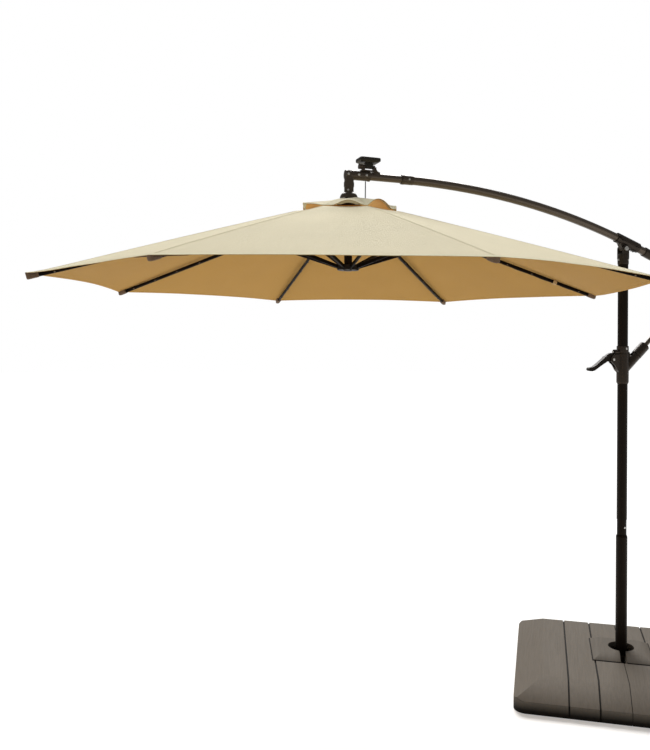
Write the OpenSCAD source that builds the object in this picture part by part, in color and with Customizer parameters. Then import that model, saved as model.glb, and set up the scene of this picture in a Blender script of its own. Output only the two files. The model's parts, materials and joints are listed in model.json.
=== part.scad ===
/* [Canopy] */
// Distance from the canopy's centre to a corner
canopy_r = 1400; // [1360:5:1440]
// Height of the corners of the open canopy above the ground
rim_z = 2051; // [2040:1:2062]
// Rise of the cloth from its corners to the crown
canopy_rise = 400; // [395:1:405]
// Dip of each hem between two corners
hem_dip = 25; // [0:1:60]
// Sag of the cloth between two ribs
cloth_sag = 9; // [0:1:15]
// Thickness of the cloth
cloth_t = 1.5; // [1:0.1:2]
// Radius of the vent opening under the cap
vent_r = 150; // [130:5:170]
// Distance from the centre to a corner of the vent cap
cap_r = 225; // [205:5:240]

/* [Ribs] */
// Width of a rib
rib_w = 12; // [11:0.5:13]
// Depth of a rib
rib_h = 18; // [17:0.5:19]
// Distance from the crown pivot to the stretcher pivot along a rib
stretcher_at = 462; // [450:1:475]
// Radius of the circle on which the ribs and stretchers are pinned
pivot_r = 40; // [39:0.5:42]

/* [Arm] */
// Distance from the mast's axis to the canopy's axis
reach = 1578; // [1560:1:1600]
// Height of the arm's level nose above the ground
nose_z = 2580; // [2575:1:2585]
// Radius of the arm's bend
arm_bend = 3900; // [3850:10:3950]
// Radius of the arm tube
arm_r = 21; // [20.5:0.1:21.5]
// Radius of the arm's tail behind the mast
tail_r = 24; // [23.5:0.1:24.5]
// Distance from the mast's axis to the pin at the tail's end
tail_x = 515; // [505:1:525]

/* [Mast] */
// Radius of the upper mast
mast_r = 27; // [26.5:0.1:27.5]
// Radius of the lower mast
lower_mast_r = 30; // [29.5:0.1:30.5]
// Height of the arm's pivot above the ground
pivot_z = 2309; // [2307:1:2311]
// Height of the lower end of the upper mast
joint_z = 848; // [820:1:880]

/* [Tilt gear] */
// Height of the lower end of the carriage
carriage_z = 1579; // [1560:1:1590]
// Radius of the strut rod
strut_r = 12; // [11:0.5:13]

/* [Base] */
// Half of the base's outer width
tank_half = 552; // [540:1:570]
// Half of the base's flat top
tank_flat = 411; // [395:1:420]
// Height of the base's upright edge
tank_edge = 59; // [50:1:70]
// Height of the base's flat top
tank_h = 135; // [125:1:145]
// Turn of the base about the mast
base_turn = -33; // [-90:1:90]

/* [Hidden] */
rib_count = 8;
rib_step = 360 / rib_count;
running = 0.05;
slide_gap = 0.08;
sweep_fn = 400;
$fn = 40;

cloth_black = "#1b1713";
arm_brown = "#443d35";
mast_black = "#201b16";
bracket_black = "#1c1712";
bright_steel = "#b9b6ae";
cream_cloth = "#e6dfc9";
taupe_base = "#7c756c";
glass_black = "#373733";

// Canopy frame: the crown pivots carry the ribs, the runner pivots the stretchers
cloth_slope = atan(canopy_rise / canopy_r);
rib_gap = 0.2;
rib_drop = rib_h / 2 + cloth_t + rib_gap;
crown_z = cloth_z(pivot_r) - rib_drop / cos(cloth_slope);
clevis_drop = rib_h;
stretcher_len = norm([stretcher_at, clevis_drop]);
pivot_slope = cloth_slope + atan(clevis_drop / stretcher_at);
runner_z = crown_z - 2 * stretcher_len * sin(pivot_slope);
pin_r = 3;
crown_pin_len = 30;
slot_w = 9;
tongue_t = 8;
eye_r = 8;
hub_r = 55;
runner_r = 52;
core_r = 27;
tube_from = 30;
tip_len = 15;
tip_drop = 1.3;
bead_first = 250;
bead_step = 150;
rib_len = (canopy_r - pivot_r) / cos(cloth_slope) - tip_len - 8;
pole_r = 19;
pole_bottom = runner_z + 4;
pole_top = nose_z + 8;

// Vent cap
cap_inner_r = 30;
cap_inner_z = rim_z + canopy_rise + 24.5;
cap_corner_z = cloth_z(cap_r) + 12.5;
cap_arch = 32;
cap_hem_dip = 5;
cable_hole_r = 6.5;

// Arm
arc_x = 268 - reach;
elbow_x = 103 - reach;
elbow_r = 22.5;
nose_r = 18;
tube_start = arc_x + 22;
tube_end = 190;
tail_start = 137;
clamp_x = 25;
clamp_half = 75;
clamp_r = 27;
clamp_flange = 35;
clamp_bolt = [48, 30.8];
bolt_r = 7;
tail_z = arm_z(tail_x);
tail_tongue = 46;
strut_pin_r = 5;

// Strut between the carriage and the tail
strut_foot = [78, carriage_z + 144];
strut_len = norm([tail_x - strut_foot[0], tail_z - strut_foot[1]]);
strut_angle = atan2(tail_z - strut_foot[1], tail_x - strut_foot[0]);
foot_pin_r = 4;
foot_hole_r = 8.5;
foot_hole_shift = [-2.4, 3.2];
collar_start = 13.6;
collar_end = 94;
collar_r = 28;

// Carriage on the upper mast
carriage_h = 204;
lever_pivot = [-69, carriage_z + 130];
latch_z = carriage_z + 171;
boss_end = -57;
latch_tip = -mast_r - 0.5;
ear_t = 30;
ear_slot = 18;
lever_t = 17.2;
grip_t = 26;
grip_outline = [[-40, 21], [-50, 16], [-66, 2], [-87, -13], [-106, -27], [-122, -37], [-136, -42],
    [-150, -43], [-156, -49], [-155, -56], [-147, -61], [-134, -63], [-118, -58], [-100, -47],
    [-86, -38], [-73, -30], [-58, -21], [-46, -15], [-38, -10]];
lever_outline = concat(
    [[4, -9], [9, 4], [11, 20], [11, 49], [7.6, 49], [6.6, 34], [2, 33], [-8, 36], [-22, 34], [-34, 27]],
    [for (p = grip_outline) if (p[0] < -42) p],
    [[-34, -10], [-20, -9], [-8, -11]]);
head_z = 2225;

// Solar unit
hinge_z = nose_z + 45;
panel_x = [-1534.5, -1429.5];
panel_half = 42;
case_low = hinge_z + 18;
case_round = 14;
glass_low = hinge_z + 38;
glass_inset = 9;

// The base's height profile, taken in by d all round
plate_half = 160;
plate_flat = 105;
plate_top = tank_h + 30;
plate_hole_r = 66;
plank_w = 144;
groove_w = 8;
groove_d = 6;
tank_corner = 60;
socket_r = lower_mast_r + 4;
socket_top = 120;
socket_screw = 95;
leg_w = 40;
leg_h = 25;
leg_half = 450;

// Cable from the elbow down through the vent cap to the crown hub
cable_r = 2.5;
gland_x = 56;
cable_route = [[83, 2555.5], [83, 2530], [83, 2505], [83, 2480], [83, 2466], [82.5, 2459], [80, 2453],
    [75, 2449], [68, 2447], [60, 2447], [gland_x, 2447]];

// Height of the cloth over a rib at distance r from the centre
function cloth_z(r) = rim_z + canopy_rise * (1 - r / canopy_r);
// Slope and height of the arm's axis at a place along X
function arm_angle(x) = asin((x - arc_x) / arm_bend);
function arm_z(x) = nose_z - arm_bend * (1 - cos(arm_angle(x)));

// ---------- frames ----------
module at_canopy() {
    translate([-reach, 0, 0]) children();
}

module on_gore(i) {
    at_canopy() rotate([0, 0, rib_step * (i - 1)]) children();
}

// X runs out along the rib from its crown pivot
module on_rib(i) {
    on_gore(i) translate([pivot_r, 0, crown_z]) rotate([0, cloth_slope, 0]) children();
}

// X runs out along the stretcher from its runner pivot
module on_stretcher(i) {
    on_gore(i) translate([pivot_r, 0, runner_z]) rotate([0, -pivot_slope, 0]) children();
}

module all_round() {
    for (i = [1:rib_count]) on_gore(i) children();
}

// X runs along the arm, downhill to the tail
module at_arm(x) {
    translate([x, 0, arm_z(x)]) rotate([0, arm_angle(x), 0]) children();
}

// X runs from the carriage's pin to the tail's pin
module along_strut() {
    translate([strut_foot[0], 0, strut_foot[1]]) rotate([0, -strut_angle, 0]) children();
}

module in_base() {
    rotate([0, 0, base_turn]) children();
}

// ---------- shapes ----------
module rod_x(r, x0, x1) {
    translate([x0, 0, 0]) rotate([0, 90, 0]) cylinder(r = r, h = x1 - x0);
}

module rod_y(r, w) {
    rotate([90, 0, 0]) cylinder(r = r, h = w, center = true);
}

module rod_z(r, z0, z1) {
    translate([0, 0, z0]) cylinder(r = r, h = z1 - z0);
}

// A bar with round top and bottom along X
module oval_bar(w, h, x0, x1) {
    translate([x0, 0, 0]) rotate([90, 0, 90]) linear_extrude(x1 - x0) {
        translate([0, (h - w) / 2]) circle(d = w);
        translate([0, (w - h) / 2]) circle(d = w);
        square([w, h - w], center = true);
    }
}

// A plate of an XZ outline, centred on Y
module plate_y(t, points) {
    rotate([90, 0, 0]) linear_extrude(t, center = true) polygon(points);
}

// An upright block between two X, with half width w
module block(x0, x1, w, z0, z1) {
    translate([x0, -w, z0]) cube([x1 - x0, 2 * w, z1 - z0]);
}

// Round bar along the arm's bend
module arm_sweep(r, x0, x1) {
    translate([arc_x, 0, nose_z - arm_bend])
        rotate([90, 0, 0])
            rotate([0, 0, 90 - arm_angle(x1)])
                rotate_extrude(angle = arm_angle(x1) - arm_angle(x0), $fn = sweep_fn)
                    translate([arm_bend, 0]) circle(r, $fn = 32);
}

// Closed solid between a grid of points and the same grid lowered by t
module lowered_sheet(grid, t) {
    rows = len(grid);
    cols = len(grid[0]);
    n = rows * cols;
    top = [for (row = grid) for (p = row) p];
    cells = [for (a = [0:rows - 2]) for (b = [0:cols - 2]) a * cols + b];
    rim = concat(
        [for (b = [0:cols - 2]) b],
        [for (a = [0:rows - 2]) a * cols + cols - 1],
        [for (b = [cols - 1:-1:1]) (rows - 1) * cols + b],
        [for (a = [rows - 1:-1:1]) a * cols]);
    polyhedron(
        points = concat(top, [for (p = top) p - [0, 0, t]]),
        faces = concat(
            [for (k = cells) [k, k + 1, k + cols + 1]],
            [for (k = cells) [k, k + cols + 1, k + cols]],
            [for (k = cells) [k + n, k + cols + 1 + n, k + 1 + n]],
            [for (k = cells) [k + n, k + cols + n, k + cols + 1 + n]],
            [for (e = [0:len(rim) - 1]) let (p = rim[e], q = rim[(e + 1) % len(rim)]) [q, p, p + n]],
            [for (e = [0:len(rim) - 1]) let (p = rim[e], q = rim[(e + 1) % len(rim)]) [q, p + n, q + n]]));
}

// Closed tube through a list of rings that turn right-handed about its direction
module ring_tube(rings) {
    sides = len(rings[0]);
    last = (len(rings) - 1) * sides;
    quads = [for (a = [0:len(rings) - 2]) for (k = [0:sides - 1]) [a * sides + k, a * sides + (k + 1) % sides]];
    polyhedron(
        points = [for (ring = rings) for (p = ring) p],
        faces = concat(
            [[for (k = [0:sides - 1]) k]],
            [for (q = quads) [q[0], q[0] + sides, q[1] + sides]],
            [for (q = quads) [q[0], q[1] + sides, q[1]]],
            [[for (k = [sides - 1:-1:0]) last + k]]));
}

// Screw along Y, its head towards -Y with the head's face at y
module screw_y(x, y, z, r, length, drive = true) {
    translate([x, y, z]) rotate([-90, 0, 0]) difference() {
        union() {
            cylinder(r1 = r * 0.8, r2 = r, h = 1.2);
            translate([0, 0, 1.2]) cylinder(r = r, h = 3);
            translate([0, 0, 4.2]) cylinder(r = r / 2, h = length);
        }
        if (drive) translate([0, 0, -1]) cylinder(r = r * 0.5, h = 3, $fn = 6);
    }
}

// ---------- base ----------
// Outline of the base's height against one side, taken in by d
function tank_outline(d) = [[-tank_half + d, -1], [-tank_half + d, tank_edge - d / 2],
    [-tank_flat + d / 2, tank_h - d], [tank_flat - d / 2, tank_h - d],
    [tank_half - d, tank_edge - d / 2], [tank_half - d, -1]];

module tank_block(d) {
    inner = tank_half - tank_corner;
    intersection() {
        rotate([90, 0, 0]) linear_extrude(3 * tank_half, center = true) polygon(tank_outline(d));
        rotate([90, 0, 90]) linear_extrude(3 * tank_half, center = true) polygon(tank_outline(d));
        linear_extrude(tank_h) {
            square([2 * tank_half, 2 * inner], center = true);
            square([2 * inner, 2 * tank_half], center = true);
            for (x = [-1, 1]) for (y = [-1, 1]) translate([x * inner, y * inner]) circle(tank_corner);
        }
    }
}

// The shallow grooves between the planks
module plank_grooves() {
    for (k = [-2, -1, 1, 2]) translate([k * plank_w, 0, 0]) rotate([90, 0, 90])
        linear_extrude(groove_w, center = true) difference() {
            translate([-tank_half - 5, 2]) square([2 * tank_half + 10, tank_h + 5]);
            polygon(tank_outline(groove_d));
        }
}

module filler_cap_pair() {
    for (side = [-1, 1]) translate([side * 285, tank_half - 14, 33]) rotate([-90, 0, 0]) {
        cylinder(r = 17, h = 10);
        cylinder(r = 13, h = 14);
    }
}

module base_tank(side) {
    color(taupe_base) in_base() difference() {
        intersection() {
            tank_block(0);
            translate([side > 0 ? 0.5 : -tank_half - 5, -tank_half, -5])
                cube([tank_half + 4.5, 2 * tank_half, tank_h + 10]);
        }
        plank_grooves();
        rod_z(plate_hole_r - 4, -5, tank_h + 5);
        translate([-13, 4 - plate_half, 50]) cube([26, plate_half - 56, tank_h]);
        rod_z(82, -5, 60);
        block(-leg_half - 5, leg_half + 5, leg_w / 2 + 2, -5, leg_h + 2);
        rotate([0, 0, 90]) block(-leg_half - 5, leg_half + 5, leg_w / 2 + 2, -5, leg_h + 2);
        filler_cap_pair();
    }
}

module filler_caps() {
    color(mast_black) in_base() difference() {
        filler_cap_pair();
        for (side = [-1, 1]) translate([side * 285 - 10, tank_half - 3, 30]) cube([20, 10, 6]);
    }
}

module centre_plate() {
    outline = [[-plate_half, tank_h], [-plate_flat, plate_top], [plate_flat, plate_top],
        [plate_half, tank_h]];
    color(taupe_base) in_base() difference() {
        intersection() {
            rotate([90, 0, 0]) linear_extrude(2 * plate_half, center = true) polygon(outline);
            rotate([90, 0, 90]) linear_extrude(2 * plate_half, center = true) polygon(outline);
        }
        rod_z(plate_hole_r, tank_h - 5, plate_top + 5);
        translate([-15, -plate_half - 5, tank_h - 5]) cube([30, plate_half, 60]);
    }
}

module cross_base() {
    color(mast_black) in_base() difference() {
        union() {
            block(-leg_half, leg_half, leg_w / 2, 0, leg_h);
            rotate([0, 0, 90]) block(-leg_half, leg_half, leg_w / 2, 0, leg_h);
        }
        for (a = [0:90:270]) rotate([0, 0, a]) translate([56, 0, 0]) rod_z(5, 8, leg_h + 5);
    }
}

module mast_socket() {
    color(mast_black) difference() {
        union() {
            rod_z(78, leg_h, leg_h + 8);
            rod_z(socket_r, leg_h + 8, socket_top);
            translate([0, 0, socket_top]) cylinder(r1 = socket_r, r2 = socket_r - 2.5, h = 5);
        }
        rod_z(lower_mast_r, leg_h + 12, socket_top + 10);
        in_base() for (a = [0:90:270]) rotate([0, 0, a]) translate([56, 0, 0]) rod_z(5, 0, 60);
        screw_y(0, -socket_r - 2, socket_screw, 6, 6, drive = false);
    }
}

// ---------- mast ----------
module mast_lower() {
    color(mast_black) difference() {
        union() {
            rod_z(lower_mast_r, leg_h + 12, joint_z - 93);
            translate([0, 0, joint_z - 93]) cylinder(r1 = lower_mast_r, r2 = mast_r - 2, h = 12);
            rod_z(mast_r - 2, joint_z - 81, joint_z + 100);
        }
        rod_z(22, leg_h, joint_z + 110);
        screw_y(0, -socket_r - 2, socket_screw, 6, 6, drive = false);
        screw_y(0, -27.5, joint_z - 42, 6, 3, drive = false);
    }
}

module mast_upper() {
    color(mast_black) difference() {
        rod_z(mast_r, joint_z, head_z + 37);
        rod_z(mast_r - 2, joint_z - 5, head_z + 42);
        cap_screws(drive = false);
    }
}

module cap_screws(drive = true) {
    for (a = [-120, 0, 120]) rotate([0, 0, a + 30]) screw_y(0, -31, head_z + 25, 5, 3, drive);
}

module mast_head() {
    color(bracket_black) difference() {
        union() {
            translate([0, 0, head_z]) cylinder(r1 = 28.5, r2 = 29.5, h = 4);
            rod_z(29.5, head_z + 4, head_z + 50);
            translate([0, 0, head_z + 50]) cylinder(r1 = 29.5, r2 = 26.5, h = 6);
            for (side = [-1, 1]) translate([0, side * 21, 0]) {
                translate([0, 0, pivot_z]) rod_y(20, 8);
                block(-20, 20, 4, head_z + 30, pivot_z);
            }
        }
        rod_z(mast_r, head_z - 5, head_z + 37);
        translate([0, 0, pivot_z]) rod_y(bolt_r, 80);
        cap_screws(drive = false);
    }
}

module mast_fasteners() {
    color(bright_steel) {
        cap_screws();
        screw_y(0, -socket_r - 2, socket_screw, 6, 6);
        screw_y(0, -27.5, joint_z - 42, 6, 3);
        in_base() for (a = [0:90:270]) rotate([0, 0, a]) translate([56, 0, 0]) {
            rod_z(5, 8, leg_h + 8);
            translate([0, 0, leg_h + 8]) cylinder(r = 9, h = 7, $fn = 6);
        }
    }
}

module pivot_bolt() {
    color(bright_steel) translate([0, 0, pivot_z]) rotate([90, 0, 0]) difference() {
        union() {
            translate([0, 0, -33]) cylinder(r = bolt_r, h = 58);
            translate([0, 0, 25]) cylinder(r1 = 13, r2 = 12, h = 6);
            translate([0, 0, -33]) cylinder(r = 11.5, h = 8, $fn = 6);
        }
        rotate([0, 0, 25]) translate([-20, -1.5, 28.5]) cube([40, 3, 5]);
    }
}

// ---------- arm ----------
module clamp_shell(side) {
    difference() {
        union() {
            rod_x(clamp_r, -clamp_half, clamp_half);
            block(-clamp_half + 8, clamp_half - 8, clamp_flange, -6, 6);
        }
        block(-clamp_half - 5, clamp_half + 5, clamp_flange + 5, side > 0 ? -clamp_r - 5 : -0.4,
            side > 0 ? 0.4 : clamp_r + 5);
    }
}

// A straight bore that holds the bent tube with half its bow above and half below
module clamp_bore() {
    bow = pow(clamp_half, 2) / arm_bend / 2;
    at_arm(clamp_x) translate([0, 0, -bow / 2]) rod_x(arm_r + bow / 2 + 0.05, -clamp_half - 5, clamp_half + 5);
}

module clamp_bolts(drive = true) {
    at_arm(clamp_x) for (x = [-1, 1]) for (y = [-1, 1]) translate([x * clamp_bolt[0], y * clamp_bolt[1], 0]) {
        difference() {
            union() {
                rod_z(3, -8, 6);
                translate([0, 0, 6]) cylinder(r1 = 4.1, r2 = 3.6, h = 3);
                translate([0, 0, -10]) cylinder(r = 4.3, h = 4, $fn = 6);
            }
            if (drive) translate([0, 0, 7]) cylinder(r = 2, h = 5, $fn = 6);
        }
    }
}

module arm_clamp_top() {
    color(bracket_black) difference() {
        at_arm(clamp_x) clamp_shell(1);
        clamp_bore();
        clamp_bolts(drive = false);
    }
}

module arm_clamp_bottom() {
    color(bracket_black) difference() {
        union() {
            at_arm(clamp_x) clamp_shell(-1);
            at_arm(clamp_x) for (x = [34, 46, 58]) block(x - 2.5, x + 2.5, 12, -30, -20);
            translate([0, 0, pivot_z]) rotate([90, 0, 0]) linear_extrude(ear_t, center = true) {
                circle(16);
                polygon([[-37, 44], [36, 14], [12, -6], [-12, -6]]);
            }
        }
        clamp_bore();
        translate([0, 0, pivot_z]) rod_y(bolt_r + running, 60);
        clamp_bolts(drive = false);
    }
}

module arm_tube() {
    color(arm_brown) difference() {
        arm_sweep(arm_r, tube_start, tube_end);
        arm_sweep(arm_r - 2, tube_start - 4, tube_end + 5);
        screw_y(163, -27.5, arm_z(163), 6, 8, drive = false);
    }
}

module arm_tail() {
    color(bracket_black) difference() {
        union() {
            arm_sweep(tail_r, tail_start, tail_x - tail_tongue + 5);
            arm_sweep(tail_r + 2, tail_start, tube_end);
            at_arm(tail_x) {
                block(-tail_tongue - 8, 0, 7, -14, 14);
                rod_y(14, 14);
            }
        }
        arm_sweep(arm_r, tail_start - 5, tail_x - tail_tongue - 12);
        translate([tail_x, 0, tail_z]) rod_y(strut_pin_r, 40);
        screw_y(163, -27.5, arm_z(163), 6, 8, drive = false);
    }
}

module nose_collar() {
    color(bracket_black) difference() {
        translate([0, 0, nose_z]) {
            rod_x(23, arc_x - 1, arc_x + 59);
            rod_x(24, arc_x + 4, arc_x + 12);
        }
        translate([0, 0, nose_z]) rod_x(nose_r, arc_x - 5, tube_start + 1);
        arm_sweep(arm_r, tube_start, arc_x + 100);
        screw_y(arc_x + 35, -24.5, nose_z, 5, 3, drive = false);
    }
}

module nose_tube() {
    color(arm_brown) translate([0, 0, nose_z]) difference() {
        rod_x(nose_r, elbow_x - 25, tube_start);
        rod_x(nose_r - 2, elbow_x - 30, tube_start + 5);
    }
}

module elbow_screws(drive = true) {
    screw_y(-reach - 9, -24, nose_z + 1, 6, 8, drive);
    screw_y(elbow_x - 60, -24, nose_z + 1, 6, 8, drive);
    screw_y(elbow_x - 21, -24, nose_z + 1, 6, 8, drive);
    screw_y(-reach, -24, nose_z - 43, 5, 8, drive);
    screw_y(-reach - 9, -21.5, nose_z - 74.5, 5, 8, drive);
}

module elbow() {
    color(bracket_black) difference() {
        union() {
            translate([0, 0, nose_z]) {
                rod_x(elbow_r, -reach - 20, elbow_x);
                rod_x(elbow_r + 1.5, elbow_x - 8, elbow_x);
            }
            translate([-reach, 0, 0]) {
                rod_z(elbow_r, nose_z - 81, nose_z + 15);
                translate([0, 0, nose_z + 15]) cylinder(r1 = elbow_r, r2 = 17, h = 5);
                rod_z(elbow_r + 2, nose_z - 57, nose_z - 36);
            }
        }
        translate([-reach, 0, 0]) rod_z(pole_r, nose_z - 90, pole_top);
        translate([0, 0, nose_z]) rod_x(nose_r, elbow_x - 25, elbow_x + 5);
        elbow_screws(drive = false);
    }
}

module arm_screws() {
    color(bright_steel) {
        difference() {
            elbow_screws();
            translate([-reach, 0, 0]) rod_z(pole_r, nose_z - 90, pole_top);
            translate([0, 0, nose_z]) rod_x(nose_r, elbow_x - 25, elbow_x + 5);
        }
        screw_y(163, -27.5, arm_z(163), 6, 8);
        difference() {
            screw_y(arc_x + 35, -24.5, nose_z, 5, 3);
            arm_sweep(arm_r, tube_start, arc_x + 100);
        }
        clamp_bolts();
        translate([tail_x, 0, tail_z]) {
            rod_y(strut_pin_r, 32);
            for (side = [-1, 1]) translate([0, side * 14.8, 0]) rod_y(9, 4);
        }
    }
}

module hub_bell() {
    top = nose_z - 81;
    color(bracket_black) at_canopy() rotate_extrude() polygon([[pole_r, top], [23, top], [31, top - 3],
        [37, top - 8], [41, top - 15], [42, top - 22], [36, top - 22], [36, top - 19], [pole_r, top - 19]]);
}

module centre_pole() {
    color(mast_black) at_canopy() difference() {
        rod_z(pole_r, pole_bottom, pole_top);
        rod_z(pole_r - 2, pole_bottom - 5, pole_top - 3);
    }
}

// Eight straight pins round the crown hub, clear of each other
module crown_pins() {
    all_round() translate([pivot_r, 0, crown_z]) rod_y(pin_r, crown_pin_len);
}

module crown_hub() {
    color(bracket_black) difference() {
        union() {
            at_canopy() rod_z(hub_r, crown_z - 12, crown_z + 10);
            at_canopy() translate([0, 0, crown_z + 10]) cylinder(r1 = hub_r, r2 = hub_r - 5, h = 4);
        }
        at_canopy() rod_z(pole_r, crown_z - 20, crown_z + 20);
        all_round() block(core_r, hub_r + 5, slot_w / 2, crown_z - 20, crown_z + 20);
        crown_pins();
    }
    color(bracket_black) at_canopy() block(34, gland_x, 11, crown_z + 14, crown_z + 24);
}

module hub_pins() {
    color(bright_steel) crown_pins();
}

module solar_saddle() {
    color(bracket_black) difference() {
        union() {
            block(-1520, -1440, 15, nose_z + 22, nose_z + 29);
            for (x = [-1509, -1457]) {
                block(x, x + 8, 10, nose_z + 24.5, hinge_z);
                translate([0, 0, hinge_z]) rod_x(10, x, x + 8);
            }
            plate_y(24, [[-1457, hinge_z], [-1449, hinge_z], [-1438, nose_z + 27], [-1424, nose_z + 21],
                [-1424, nose_z + 10], [-1457, nose_z + 10]]);
            translate([0, 0, hinge_z]) rod_x(3, -1514, -1440);
        }
        translate([0, 0, nose_z]) {
            rod_x(elbow_r, -1600, elbow_x);
            rod_x(elbow_r + 1.5, elbow_x - 8, elbow_x);
            rod_x(nose_r, elbow_x - 5, tube_start);
        }
        elbow_screws(drive = false);
    }
    color(bracket_black) translate([0, 0, hinge_z]) difference() {
        rod_x(12, -1530, -1512);
        for (a = [0:30:330]) rotate([a, 0, 0]) translate([0, 13, 0]) rod_x(1.8, -1531, -1515);
    }
}

// The cable lies in the arm's upright plane, over the crown hub's first slot
function cable_ring(k) =
    let (
        n = len(cable_route),
        here = cable_route[k],
        ahead = cable_route[min(k + 1, n - 1)] - cable_route[max(k - 1, 0)],
        dir = ahead / norm(ahead)
    )
    [for (a = [0:45:315])
        [here[0] - cable_r * cos(a) * dir[1] - reach, -cable_r * sin(a), here[1] + cable_r * cos(a) * dir[0]]];

module solar_cable() {
    color(cloth_black) ring_tube([for (k = [0:len(cable_route) - 1]) cable_ring(k)]);
}

// ---------- solar unit ----------
module solar_case() {
    mid = (panel_x[0] + panel_x[1]) / 2;
    half = (panel_x[1] - panel_x[0]) / 2;
    color(cloth_black) difference() {
        union() {
            translate([mid, 0, case_low]) hull() {
                for (x = [-1, 1]) for (y = [-1, 1]) {
                    translate([x * (half - 24), y * (panel_half - 22), 0]) cylinder(r = 12, h = 1);
                    translate([x * (half - case_round), y * (panel_half - case_round), 8])
                        cylinder(r = case_round, h = 11);
                    translate([x * (half - case_round), y * (panel_half - case_round), 6])
                        cylinder(r = case_round - 2, h = 16);
                }
            }
            block(-1498, -1460, 8, hinge_z, case_low + 2);
            translate([0, 0, hinge_z]) rod_x(8, -1498, -1460);
        }
        translate([0, 0, hinge_z]) rod_x(3 + running, -1510, -1440);
        translate([mid, 0, glass_low]) linear_extrude(5)
            square([2 * (half - glass_inset), 2 * (panel_half - glass_inset)], center = true);
    }
}

module solar_glass() {
    mid = (panel_x[0] + panel_x[1]) / 2;
    color(glass_black) translate([mid, 0, glass_low]) linear_extrude(1.6)
        square([panel_x[1] - panel_x[0] - 2 * glass_inset - 0.4, 2 * (panel_half - glass_inset) - 0.4],
            center = true);
}

// ---------- tilt strut ----------
module strut_rod() {
    color(mast_black) along_strut() difference() {
        union() {
            rod_x(strut_r, 45, strut_len - 60);
            rod_x(15, strut_len - 76, strut_len - 36);
            intersection() {
                block(strut_len - 50, strut_len, 12.5, -14, 14);
                rod_x(18, strut_len - 50, strut_len + 5);
            }
            translate([strut_len, 0, 0]) rod_y(14, 25);
        }
        rod_x(strut_r - 2, 40, strut_len - 70);
        block(strut_len - 36, strut_len + 20, 7.5, -20, 20);
        translate([strut_len, 0, 0]) rod_y(strut_pin_r + running, 40);
    }
}

module strut_socket() {
    color(bracket_black) along_strut() difference() {
        union() {
            translate([collar_start, 0, 0]) rotate([0, 90, 0]) cylinder(r1 = collar_r - 4, r2 = collar_r, h = 4);
            rod_x(collar_r, collar_start + 4, collar_end - 4);
            translate([collar_end - 4, 0, 0]) rotate([0, 90, 0]) cylinder(r1 = collar_r, r2 = collar_r - 4, h = 4);
            block(0, 20, 10.8, -12, 12);
            rod_y(12, 21.6);
        }
        rod_x(strut_r, 45, collar_end + 5);
        translate([foot_hole_shift[0], 0, foot_hole_shift[1]]) rod_y(foot_hole_r, 40);
    }
}

// ---------- carriage ----------
module carriage() {
    z = carriage_z;
    color(bracket_black) difference() {
        union() {
            rotate_extrude() polygon([[0, z], [30, z], [32.5, z + 10], [32.5, z + 60], [31.5, z + 160],
                [30.5, z + 168], [30.5, z + 171], [31.5, z + 173], [31.5, z + 201], [30.5, z + 204],
                [0, z + 204]]);
            along_strut() rod_x(27, -90, 11);
            plate_y(22, [[20, z + 172], [36, z + 172], [44, z + 160], [40, z + 130], [20, z + 130]]);
            plate_y(ear_t, [[-28, z + 158], [-56, z + 158], [-76, z + 151], [-84, z + 140], [-84, z + 122],
                [-76, z + 112], [-62, z + 102], [-52, z + 88], [-44, z + 74], [-28, z + 58]]);
            translate([lever_pivot[0], 0, lever_pivot[1]]) rod_y(14, ear_t);
            translate([0, 0, latch_z]) rod_x(13.5, boss_end, -20);
        }
        rod_z(mast_r + slide_gap, z - 60, z + carriage_h + 20);
        along_strut() block(-14, 40, 11.5, -40, 40);
        along_strut() rod_y(foot_pin_r, 50);
        block(-95, -47, ear_slot / 2, z + 50, z + 160);
        translate([0, 0, latch_z]) {
            rod_x(8.3, boss_end + 4, -15);
            rod_x(4.3, boss_end - 5, -15);
        }
        translate([lever_pivot[0], 0, lever_pivot[1]]) rod_y(4, 34);
        screw_y(2, -33, z + 190, 6, 2, drive = false);
        rod_z(60, z - 60, z);
    }
}

module carriage_fasteners() {
    color(bright_steel) {
        along_strut() rod_y(foot_pin_r, 50);
        translate([lever_pivot[0], 0, lever_pivot[1]]) {
            rod_y(4, 32);
            for (side = [-1, 1]) translate([0, side * 16.5, 0]) rod_y(6.5, 3);
        }
        difference() {
            screw_y(2, -33, carriage_z + 190, 6, 2);
            rod_z(mast_r + slide_gap, carriage_z + 150, carriage_z + carriage_h);
        }
    }
}

module latch_spring() {
    turns = 3;
    step = 24;
    start = boss_end + 5;
    pitch = (latch_tip - 9.5 - start) / (turns * 360);
    color(bright_steel) ring_tube([for (t = [0:step:turns * 360]) [for (a = [0:60:300])
        [start + 1 + pitch * t - 0.9 * sin(a), (6.1 + 0.9 * cos(a)) * cos(t),
            latch_z + (6.1 + 0.9 * cos(a)) * sin(t)]]]);
}

module latch_pin() {
    color(bright_steel) translate([0, 0, latch_z]) {
        rod_x(8, latch_tip - 7.5, latch_tip);
        rod_x(4, lever_pivot[0] + 3, latch_tip - 6);
        rod_x(6, lever_pivot[0] + 2.8, lever_pivot[0] + 6.2);
    }
}

// The hand lever: a fork that pulls the latch pin, and an S-shaped grip
module tilt_lever() {
    px = lever_pivot[0];
    pz = lever_pivot[1];
    color(mast_black) difference() {
        union() {
            translate([px, 0, pz]) rod_y(10, lever_t);
            translate([px, 0, pz]) plate_y(lever_t, lever_outline);
            translate([px, 0, pz]) plate_y(grip_t, grip_outline);
        }
        translate([px, 0, pz]) rod_y(4 + running, 40);
        block(px - 2, px + 14, 4.8, latch_z - 8, latch_z + 20);
    }
}

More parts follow.
